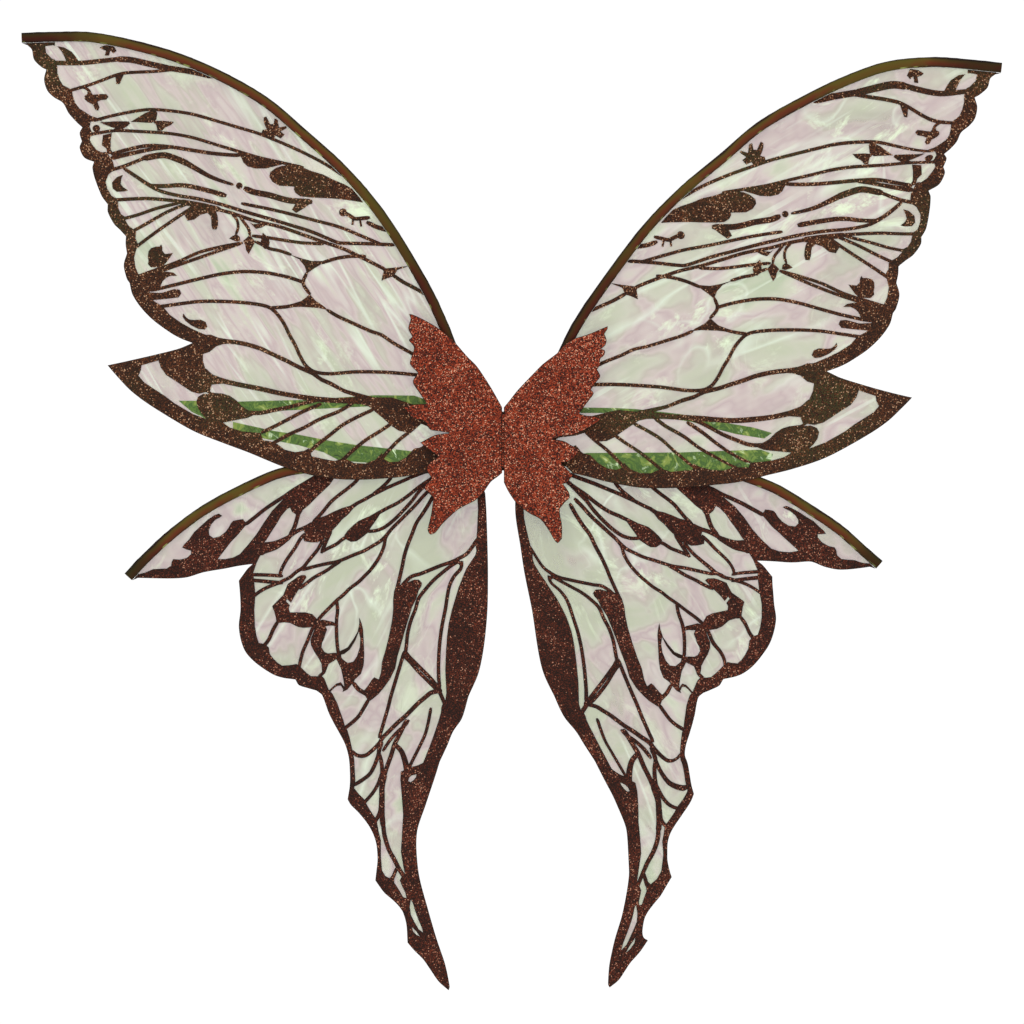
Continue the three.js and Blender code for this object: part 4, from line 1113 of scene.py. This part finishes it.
def casing(side, level):
    points = spar_line(side, level, SLEEVE_END[level], 2.2)
    y0 = LAYER[level] - FILM_THICK - SLEEVE_THICK / 2
    turn = 1 if side == "right" else -1
    around = 20
    verts, faces, marks = [], [], []
    total = len(points) - 1
    for i, p in enumerate(points):
        along = (points[min(i + 1, total)] - points[max(i - 1, 0)]).normalized()
        inward = Vector((-along.y, along.x)) * turn
        wander = noise.noise(Vector((i / 7, 3.1, 0))) * 0.2
        for k in range(around):
            angle = math.tau * k / around
            c, s = math.cos(angle), math.sin(angle)
            wide = SLEEVE_WIDE / 2 * math.copysign(abs(c) ** 0.7, c)
            deep = SLEEVE_THICK / 2 * math.copysign(abs(s) ** 0.8, s)
            if c < -0.3:
                wide -= 0.35 * max(noise.noise(Vector((i / 2.6, 8.5, 0))), 0)
            if c > 0.3:
                wide += 0.26 * noise.noise(Vector((i / 1.7, k / 9, 5))) + wander
                deep *= 0.86 + 0.1 * noise.noise(Vector((i / 1.5, k / 5, 1)))
            at = p + inward * wide
            verts.append((at.x * MM, (y0 - deep) * MM, at.y * MM))
            marks.append((i / total, 0.5 + 0.5 * c))
    for i in range(total):
        for k in range(around):
            a, b = i * around + k, i * around + (k + 1) % around
            faces.append((a, b, b + around, a + around))
    faces.append(tuple(range(around)))
    faces.append(tuple(total * around + k for k in reversed(range(around))))
    made = mesh_object(f"{level}_satin_casing_{side}", verts, faces)
    layer = made.data.uv_layers.new(name="weave")
    for loop in made.data.loops:
        layer.data[loop.index].uv = marks[loop.vertex_index]
    pick(made)
    bpy.ops.object.mode_set(mode="EDIT")
    bpy.ops.mesh.select_all(action="SELECT")
    bpy.ops.mesh.normals_make_consistent(inside=False)
    bpy.ops.object.mode_set(mode="OBJECT")
    bpy.ops.object.shade_smooth_by_angle(angle=math.radians(50))
    made.data.materials.append(satin.material)
    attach(made, f"{level}_{side}")
    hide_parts(f"{level}_sleeve_{side}")
    return made


casings = [casing(side, level) for side in SIDES for level in LEVELS]
print("casings", [len(c.data.polygons) for c in casings])

# %% [markdown]
# ## Green strips
# Strips of green stretch film are glued across the root of each upper wing, one under the
# root leaf and one along the lower free edge, to take the pull where the wings overlap. The
# left wing has a third, short one at the outer end. They show through between the veins.

# %% Glue the strips
green = Paint("green_strip")
warp = green.noise(green.place(), 55, 3.0, 0.6, 2.2)
# Pale streaks across the strip: painted highlights.
strip_highlight = (green.noise(green.turn(green.place(), (70, 1, 130), -50), 1.0, 4.0, 0.6, 1.0)
         - 0.6).clamp()
green.set(Base_Color=green.mix((strip_highlight * 9).clamp(), green.ramp(warp, (
    (0.3, linear(38, 58, 28)), (0.43, linear(92, 122, 46)), (0.5, linear(60, 92, 40)),
    (0.58, linear(112, 138, 58)), (0.66, linear(142, 156, 72)), (0.74, linear(188, 206, 140)))),
    linear(222, 244, 196)),
    Roughness=0.4, Alpha=0.92, Specular_IOR_Level=0.3,
    Normal=green.bump(warp, 0.4, 0.001))
STRIPS = {
    "left": (
        "-260,36.5 -230,37.5 -184,38.7 -138,41.5 -115,43 -80,42.7 -66,38 -66,30 -80,32 -120,33 "
        "-160,31 -200,29 -250,28",
        "-292,38 -274,38 -266,21 -280,28",
        "-243,19 -207,11 -184,7.5 -156,2 -132,-1.8 -103,-5 -64,-9.5 -60,-20 -103,-19 "
        "-132,-17 -148,-15.5 -161,-8.5 -184,-2 -207,2.5 -243,9.5"),
    "right": (
        "68,28 72,32 100,31.5 120,30.5 160,26 190,20 225,14 242,9 235,4 210,8 190,13 170,19 "
        "150,22 122,26 100,27 70,27",
        "62,-12 75,-9 160,-8.5 200,-7 232,-6 243,-10 240,-20 200,-27 150,-28 100,-26 75,-20"),
}


GREEN_THICK = 0.07
GREEN_GAP = 0.005
GREEN_GRID = 3


def green_strip(side, index, text):
    outline = looped(line(text))
    xs, zs = [p[0] for p in outline], [p[1] for p in outline]
    grid = [(x, z) for x in np.arange(min(xs), max(xs), GREEN_GRID)
            for z in np.arange(min(zs), max(zs), GREEN_GRID)]
    made = flat_sheet(f"green_strip_{index}_{side}", fill(outline, [], [], grid),
                      LAYER["upper"] - FILM_THICK + GREEN_GAP)
    thicken(made, GREEN_THICK)
    made.data.materials.append(green.material)
    area = sum(p.area for p in made.data.polygons) / 2
    size = blank_size(outline)
    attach(made, f"upper_{side}")
    print(made.name, [round(v, 3) for v in size], "area", round(area * 1e4, 1), "cm2")
    return made


for side in SIDES:
    for i, text in enumerate(STRIPS[side]):
        green_strip(side, i + 1, text)

# %% [markdown]
# ## Covers
# A scalloped leaf of thin foam, faced with copper glitter, hides each half of the hub. It is
# cut like a vein sheet and keeps its thickness, with the face a little crowned.

# %% Cut the covers
def cover(side):
    sign = 1 if side == "right" else -1
    outline = [(x * sign, z) for x, z in joined(COVER[side], 1.6)]
    xs, zs = [p[0] for p in outline], [p[1] for p in outline]
    grid = [(x + math.sin(z), z) for x in np.arange(min(xs), max(xs), 4)
            for z in np.arange(min(zs), max(zs), 4)]
    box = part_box(f"cover_{side}")
    back, front = box[1][1] / MM, box[0][1] / MM
    made, _, slots = cut_sheet(f"copper_cover_{side}", outline, [], [], back, 2, grid)
    made.data.materials.append(COVER_GLITTER)
    made.data.materials.append(EDGE_PAINT)
    made.data.polygons.foreach_set("material_index", slots)
    thicken(made, back - front - 0.3)
    edge = np.array(outline)
    for v in made.data.vertices:
        if v.co.y < (back + front) / 2 * MM:
            x, z = v.co.x / MM, v.co.z / MM
            near = float(np.min(np.hypot(edge[:, 0] - x, edge[:, 1] - z)))
            crown = min(1.0, near / 6)
            v.co.y -= MM * (0.3 * crown + 0.12 * crown * noise.noise(Vector((x / 9, z / 9, 0))))
    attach(made, f"{side}_root")
    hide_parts(f"cover_{side}")
    return made


covers = [cover(side) for side in SIDES]
print("covers", [len(c.data.polygons) for c in covers])

# %% [markdown]
# ## Wires, rivets and plates
# These keep the shapes they already have and only need a finish. The wire is drawn spring
# steel, so its grain runs round it in fine rings. The rivets are pressed brass, the plates
# are moulded plastic with a spark-etched grain, and the blocks are closed-cell foam.

# %% Hard finishes
def steel():
    paint = Paint("drawn_steel")
    dull = paint.noise(paint.place(), 90, 4.0, 0.6)
    drawn = paint.noise(paint.turn(paint.place(), (900, 900, 60)), 1.0, 2.0)
    return paint.set(
        Base_Color=paint.ramp(dull, ((0.3, linear(96, 92, 88)), (0.7, linear(168, 165, 160)))),
        Metallic=0.9, Roughness=0.28 + dull * 0.3,
        Normal=paint.bump(drawn, 0.15, 0.0002)).material


def brass():
    paint = Paint("pressed_brass")
    tarnish = paint.noise(paint.place(), 260, 4.0, 0.65)
    return paint.set(
        Base_Color=paint.ramp(tarnish, (
            (0.32, linear(104, 74, 34)), (0.5, linear(186, 148, 82)), (0.7, linear(214, 182, 118)))),
        Metallic=0.92, Roughness=0.22 + tarnish * 0.35,
        Normal=paint.bump(tarnish, 0.12, 0.0002)).material


def grained(name, dark, pale, scale, depth, rough):
    paint = Paint(name)
    grit = paint.noise(paint.place(), scale, 3.0, 0.7)
    scuff = ((paint.noise(paint.turn(paint.place(), (240, 60, 24), 25), 1.0, 3.0) - 0.62).clamp()
             * 6).clamp()
    body = paint.ramp(grit, ((0.3, dark), (0.7, pale)))
    return paint.set(Base_Color=paint.mix(scuff * 0.25, body, grey(0.3)), Specular_IOR_Level=0.35,
                     Roughness=rough + grit * 0.2, Normal=paint.bump(grit, 0.4, depth)).material


HARD = {
    "spar": steel(),
    "pin": brass(),
    "spacer": grained("nylon", linear(205, 200, 188), linear(232, 228, 218), 500, 0.0001, 0.3),
    "root_plate": grained("etched_plastic", linear(24, 20, 18), linear(46, 40, 37), 900, 0.0003,
                          0.45),
    "spine_plate": grained("etched_board", linear(30, 25, 22), linear(52, 45, 41), 700, 0.0004,
                           0.5),
    "root_block": grained("foam_block", linear(34, 22, 17), linear(66, 44, 34), 420, 0.0008, 0.8),
}


def finish_hard():
    done = []
    for each in bpy.data.objects:
        for key, material in HARD.items():
            if key in each.name and each.type == "MESH" and "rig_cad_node" in each:
                for slot in each.material_slots:
                    slot.material = material
                done.append(each.name)
    return done


print("hard pieces finished:", len(finish_hard()))

# %% [markdown]
# ## Back pad
# The pad between the wings and the wearer is soft foam in a fabric cover, sewn shut round its
# rim and quilted down two lines. A cloth simulation blows it up from a slimmer copy of its
# space, so its face crowns and its sides pull in between the corners the way a cushion's do.
# It stays flat behind, where it is glued to the board, and under the ends of the straps.

# %% Fabrics
def webbing_paint():
    """Elastic webbing: cords run its length and the weft crosses them, in its own map."""
    paint = Paint("elastic_webbing")
    along = paint.part(paint.uv(), 0)
    across = paint.part(paint.uv(), 1)
    cord = (across * math.pi * 16).math("SINE").abs()
    weft = ((along * (math.pi / 0.0011)).math("SINE") * (across * math.pi * 16).math("COSINE"))
    fuzz = paint.noise(paint.place(), 1400, 2.0)
    body = paint.ramp(cord * 0.6 + weft * 0.25 + fuzz * 0.3, (
        (0.2, linear(22, 17, 15)), (0.55, linear(44, 36, 33)), (0.95, linear(84, 72, 66))))
    selvedge = ((across - 0.5).abs() > 0.46)
    return paint.set(Base_Color=paint.mix(selvedge * 0.6, body, linear(26, 20, 18)),
                     Roughness=0.85, Specular_IOR_Level=0.2,
                     Normal=paint.bump(cord + weft * 0.5 + fuzz * 0.3, 0.6, 0.0003)).material


def knit_paint(name, dark, pale):
    """A close knit: rows of small loops with a little fuzz."""
    paint = Paint(name)
    row = (paint.part(paint.place(), 2) * (math.pi / 0.0012)).math("SINE")
    wale = (paint.part(paint.place(), 0) * (math.pi / 0.001)).math("SINE")
    loop = (row * wale).abs()
    fuzz = paint.noise(paint.place(), 1200, 3.0, 0.7)
    shade = paint.noise(paint.place(), 30, 2.0)
    tone = loop * 0.45 + fuzz * 0.4 + shade * 0.25
    return paint.set(Base_Color=paint.ramp(tone, ((0.2, dark), (0.85, pale))), Roughness=0.9,
                     Specular_IOR_Level=0.2, Sheen_Weight=0.3,
                     Normal=paint.bump(loop + fuzz * 0.6, 0.5, 0.0004)).material


WEBBING = webbing_paint()
PAD_CLOTH = knit_paint("pad_knit", linear(24, 17, 15), linear(74, 54, 47))
TAB_CLOTH = knit_paint("tab_twill", linear(30, 18, 14), linear(92, 58, 44))
PIPING = knit_paint("piping_cord", linear(36, 20, 14), linear(112, 66, 46))
THREAD = knit_paint("thread", linear(120, 84, 62), linear(186, 146, 112))

# %% Swell the pad
STRAP_ENDS = [(sign * 32, up) for sign in (-1, 1) for up in (35.5, -24.5)]


def pressed(x, z):
    """The highest the pad's face may stand here, in mm, with the strap ends laid on it."""
    off = min(max(abs(x - cx) - 13.5, abs(z - cz) - 7.5) for cx, cz in STRAP_ENDS)
    return -0.1 + 0.45 * max(0.0, off)


def swollen_pad():
    source = bpy.data.objects["back_pad"]
    made = mesh_object("quilted_pad", [], [])
    made.data = source.data.copy()
    made.data.name = "quilted_pad"
    pick(made)
    bpy.ops.object.mode_set(mode="EDIT")
    bpy.ops.mesh.select_all(action="SELECT")
    bpy.ops.mesh.remove_doubles(threshold=0.00002)
    bpy.ops.object.mode_set(mode="OBJECT")
    for v in made.data.vertices:
        v.co = (v.co.x * 0.965, -9.6 * MM + (v.co.y + 10 * MM) * 0.7, v.co.z * 0.965 + 0.1 * MM)
    made.data.remesh_voxel_size = 0.0034
    bpy.ops.object.voxel_remesh()
    start = [v.co.copy() for v in made.data.vertices]
    cloth = made.modifiers.new("swell", "CLOTH")
    cloth.settings.use_pressure = True
    cloth.settings.uniform_pressure_force = 4
    cloth.settings.effector_weights.gravity = 0
    for frame_number in range(1, 21):
        bpy.context.scene.frame_set(frame_number)
    bpy.ops.object.modifier_apply(modifier="swell")
    bpy.context.scene.frame_set(1)
    for v, at in zip(made.data.vertices, start):
        move = v.co - at
        if move.length > 5 * MM:
            v.co = at + move * (5 * MM / move.length)
    pick(made)
    smoother = made.modifiers.new("fine", "SUBSURF")
    smoother.levels = smoother.render_levels = 1
    bpy.ops.object.modifier_apply(modifier="fine")
    for v in made.data.vertices:
        x, z = v.co.x / MM, v.co.z / MM
        if v.co.y > -5 * MM:
            line_off = abs(abs(x) - 14)
            v.co.y -= 1.1 * MM * math.exp(-(line_off / 1.7) ** 2)
            v.co.y = min(v.co.y, pressed(x, z) * MM)
        v.co.y = max(v.co.y, -9.95 * MM)
    bpy.ops.object.shade_smooth()
    made.data.materials.clear()
    made.data.materials.append(PAD_CLOTH)
    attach(made, "harness")
    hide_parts("back_pad")
    return made


pad = swollen_pad()
print("pad thickness", [round(v.co.y / MM, 1) for v in (
    min(pad.data.vertices, key=lambda v: v.co.y), max(pad.data.vertices, key=lambda v: v.co.y))])

# %% [markdown]
# ## Piping, straps and stitches
# The rim of the pad is closed with a fabric cord. Each arm loop is flat elastic webbing, so
# it is a flat section swept along the loop, with a map that runs along it for the weave. Its
# two ends lie on the pad under sewn tabs. A stitch is a short rounded bar of thread, modelled
# once and set down in rows.

# %% Sew the piping and straps
def piped(name, points, radius, material):
    """A round cord along a closed run of points, given in mm."""
    curve = bpy.data.curves.new(name, "CURVE")
    curve.dimensions = "3D"
    curve.bevel_depth = radius * MM
    curve.bevel_resolution = 2
    spline = curve.splines.new("POLY")
    spline.points.add(len(points) - 1)
    for spot, (x, y, z) in zip(spline.points, points):
        spot.co = (x * MM, y * MM, z * MM, 1)
    spline.use_cyclic_u = True
    made = bpy.data.objects.new(name, curve)
    bpy.context.scene.collection.objects.link(made)
    pick(made)
    bpy.ops.object.convert(target="MESH")
    made = bpy.context.object
    bpy.ops.object.shade_smooth()
    made.data.materials.clear()
    made.data.materials.append(material)
    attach(made, "harness")
    return made


PAD_HALF = line("0,27 14,43 26,55 43,57 45,40 40,3 46,-24 42,-49 26,-46 12,-32 0,-24")
rim = PAD_HALF + [(-x, z) for x, z in PAD_HALF[-2:0:-1]]
rim = [(x * 0.972, z * 0.972) for x, z in smooth(rim + rim[:1], 1.5)[:-1]]
piped("pad_piping", [(x, -5.6, z) for x, z in rim], 1.3, PIPING)

STRAP_LOOP = line("0,42 4,50 20,55 60,52 100,33 116,6 103,-20 60,-38 20,-43 4,-39 0,-31")
STRAP_WIDE, STRAP_THICK = 25.0, 1.5


def strap(side):
    sign = 1 if side == "right" else -1
    bend = [(y + STRAP_THICK / 2, z) for y, z in smooth(STRAP_LOOP, 2.5)]
    path = [Vector(p) for p in [(bend[0][0], z) for z in np.linspace(29, 41, 5)] + bend
            + [(bend[-1][0], z) for z in np.linspace(-30, -18, 5)]]
    section = [(STRAP_WIDE / 2 * c, STRAP_THICK / 2 * t) for c, t in (
        (1, 0), (0.985, 0.75), (0.95, 1), (0.5, 1), (0, 1), (-0.5, 1), (-0.95, 1), (-0.985, 0.75),
        (-1, 0), (-0.985, -0.75), (-0.95, -1), (-0.5, -1), (0, -1), (0.5, -1), (0.95, -1),
        (0.985, -0.75))]
    count = len(section)
    verts, faces, marks, gone = [], [], [], 0.0
    for i, p in enumerate(path):
        before, after = path[max(i - 1, 0)], path[min(i + 1, len(path) - 1)]
        along = (after - before).normalized()
        gone += (p - path[i - 1]).length if i else 0
        for wide, thick in section:
            at = p + Vector((-along.y, along.x)) * thick
            verts.append(((sign * 32 + wide) * MM, at.x * MM, at.y * MM))
            marks.append((gone * MM, 0.5 + wide / STRAP_WIDE))
    for i in range(len(path) - 1):
        for k in range(count):
            a, b = i * count + k, i * count + (k + 1) % count
            faces.append((a, b, b + count, a + count))
    faces += [tuple(range(count)), tuple(range(len(verts) - 1, len(verts) - 1 - count, -1))]
    made = mesh_object(f"elastic_strap_{side}", verts, faces)
    layer = made.data.uv_layers.new(name="weave")
    for loop in made.data.loops:
        layer.data[loop.index].uv = marks[loop.vertex_index]
    pick(made)
    bpy.ops.object.mode_set(mode="EDIT")
    bpy.ops.mesh.select_all(action="SELECT")
    bpy.ops.mesh.normals_make_consistent(inside=False)
    bpy.ops.object.mode_set(mode="OBJECT")
    bpy.ops.object.shade_smooth_by_angle(angle=math.radians(40))
    made.data.materials.append(WEBBING)
    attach(made, "harness")
    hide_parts(f"strap_{side}")
    print(made.name, "length", round(gone), "mm")
    return made


for side in SIDES:
    strap(side)


# %% Sew the tabs and stitches
def tab(side, end):
    """A small sewn tab of doubled fabric, its edges rolled."""
    low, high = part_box(f"strap_patch_{end}_{side}")
    centre, size = [(a + b) / 2 for a, b in zip(low, high)], [b - a for a, b in zip(low, high)]
    bpy.ops.object.select_all(action="DESELECT")
    bpy.ops.mesh.primitive_cube_add(size=1, location=centre)
    made = bpy.context.object
    made.name = f"strap_tab_{end}_{side}"
    bpy.ops.object.mode_set(mode="EDIT")
    bpy.ops.transform.resize(value=size)
    bpy.ops.mesh.subdivide(number_cuts=4)
    bpy.ops.object.mode_set(mode="OBJECT")
    bpy.ops.object.transform_apply(location=True, rotation=True, scale=True)
    rolled = made.modifiers.new("rolled", "BEVEL")
    rolled.width, rolled.segments, rolled.limit_method = 0.45 * MM, 3, "ANGLE"
    bpy.ops.object.modifier_apply(modifier="rolled")
    for v in made.data.vertices:
        if v.co.y > centre[1]:
            edge = min(abs(abs(v.co.x - centre[0]) - size[0] / 2 + 1.6 * MM),
                       abs(abs(v.co.z - centre[2]) - size[2] / 2 + 1.6 * MM)) / MM
            v.co.y -= 0.18 * MM * math.exp(-(edge / 0.6) ** 2)
    bpy.ops.object.shade_smooth_by_angle(angle=math.radians(40))
    made.data.materials.append(TAB_CLOTH)
    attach(made, "harness")
    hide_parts(f"strap_patch_{end}_{side}")
    return made, centre, size


def stitched(name, runs, pitch, long, thick):
    """Bars of thread along runs of (x, y, z) in metres, all in one mesh."""
    bpy.ops.object.select_all(action="DESELECT")
    bpy.ops.mesh.primitive_uv_sphere_add(segments=6, ring_count=4, radius=0.5)
    bar = bpy.context.object
    shape = [v.co.copy() for v in bar.data.vertices]
    sides = [tuple(p.vertices) for p in bar.data.polygons]
    bpy.data.objects.remove(bar)
    verts, faces = [], []
    for a, b in runs:
        a, b = Vector(a), Vector(b)
        count = max(1, int((b - a).length / (pitch * MM)))
        turned = (b - a).to_track_quat("Z", "Y")
        for i in range(count):
            middle = a.lerp(b, (i + 0.5) / count)
            first = len(verts)
            for p in shape:
                scaled = Vector((p.x * thick, p.y * thick, p.z * long)) * MM
                verts.append(tuple(middle + turned @ scaled))
            faces += [tuple(first + v for v in face) for face in sides]
    made = mesh_object(name, verts, faces)
    pick(made)
    bpy.ops.object.shade_smooth()
    made.data.materials.append(THREAD)
    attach(made, "harness")
    return made


tabs = [tab(side, end) for side in SIDES for end in ("top", "foot")]
tab_runs = []
for _, (x, y, z), (wide, deep, high) in tabs:
    px, pz, face = wide / 2 - 1.6 * MM, high / 2 - 1.6 * MM, y + deep / 2 - 0.05 * MM
    corner = [(x + sx * px, face, z + sz * pz) for sx, sz in ((-1, -1), (1, -1), (1, 1), (-1, 1))]
    tab_runs += list(zip(corner, corner[1:] + corner[:1]))
tab_stitches = stitched("tab_stitches", tab_runs, 2.1, 1.5, 0.4)


def on_pad(x, z):
    hit, spot, _, _ = pad.ray_cast(Vector((x * MM, 0.05, z * MM)), Vector((0, -1, 0)))
    return tuple(spot) if hit else (x * MM, -1 * MM, z * MM)


quilt_runs = []
for x in (-14, 14):
    heights = np.arange(-31, 40, 3.0)
    spots = [on_pad(x, z) for z in heights]
    quilt_runs += list(zip(spots, spots[1:]))
quilt_stitches = stitched("quilt_stitches", quilt_runs, 3.0, 2.1, 0.5)
print(len(tab_stitches.data.polygons), len(quilt_stitches.data.polygons), "stitch faces")

# %% [markdown]
# ## Hinge strip
# The two halves of the hub fold on a doubled strip of fabric that stands between them, and
# its front edge shows as a dark line down the crease. It is a flat slab with a rolled front
# edge and a slight wander, faced in the same copper glitter.

# %% Fold the hinge strip
low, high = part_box("hinge_strip")
bpy.ops.object.select_all(action="DESELECT")
bpy.ops.mesh.primitive_cube_add(size=1, location=[(a + b) / 2 for a, b in zip(low, high)])
hinge = bpy.context.object
hinge.name = "hinge_fabric"
bpy.ops.object.mode_set(mode="EDIT")
bpy.ops.transform.resize(value=[b - a for a, b in zip(low, high)])
bpy.ops.mesh.subdivide(number_cuts=11)
bpy.ops.object.mode_set(mode="OBJECT")
bpy.ops.object.transform_apply(location=True, rotation=True, scale=True)
rolled = hinge.modifiers.new("rolled", "BEVEL")
rolled.width, rolled.segments, rolled.limit_method = 0.8 * MM, 3, "ANGLE"
bpy.ops.object.modifier_apply(modifier="rolled")
for v in hinge.data.vertices:
    v.co.x *= 0.86 + 0.1 * noise.noise(v.co * 220)
bpy.ops.object.shade_smooth_by_angle(angle=math.radians(50))
hinge.data.materials.append(COVER_GLITTER)
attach(hinge, "harness")
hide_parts("hinge_strip")
print("hinge strip", len(hinge.data.polygons), "faces")
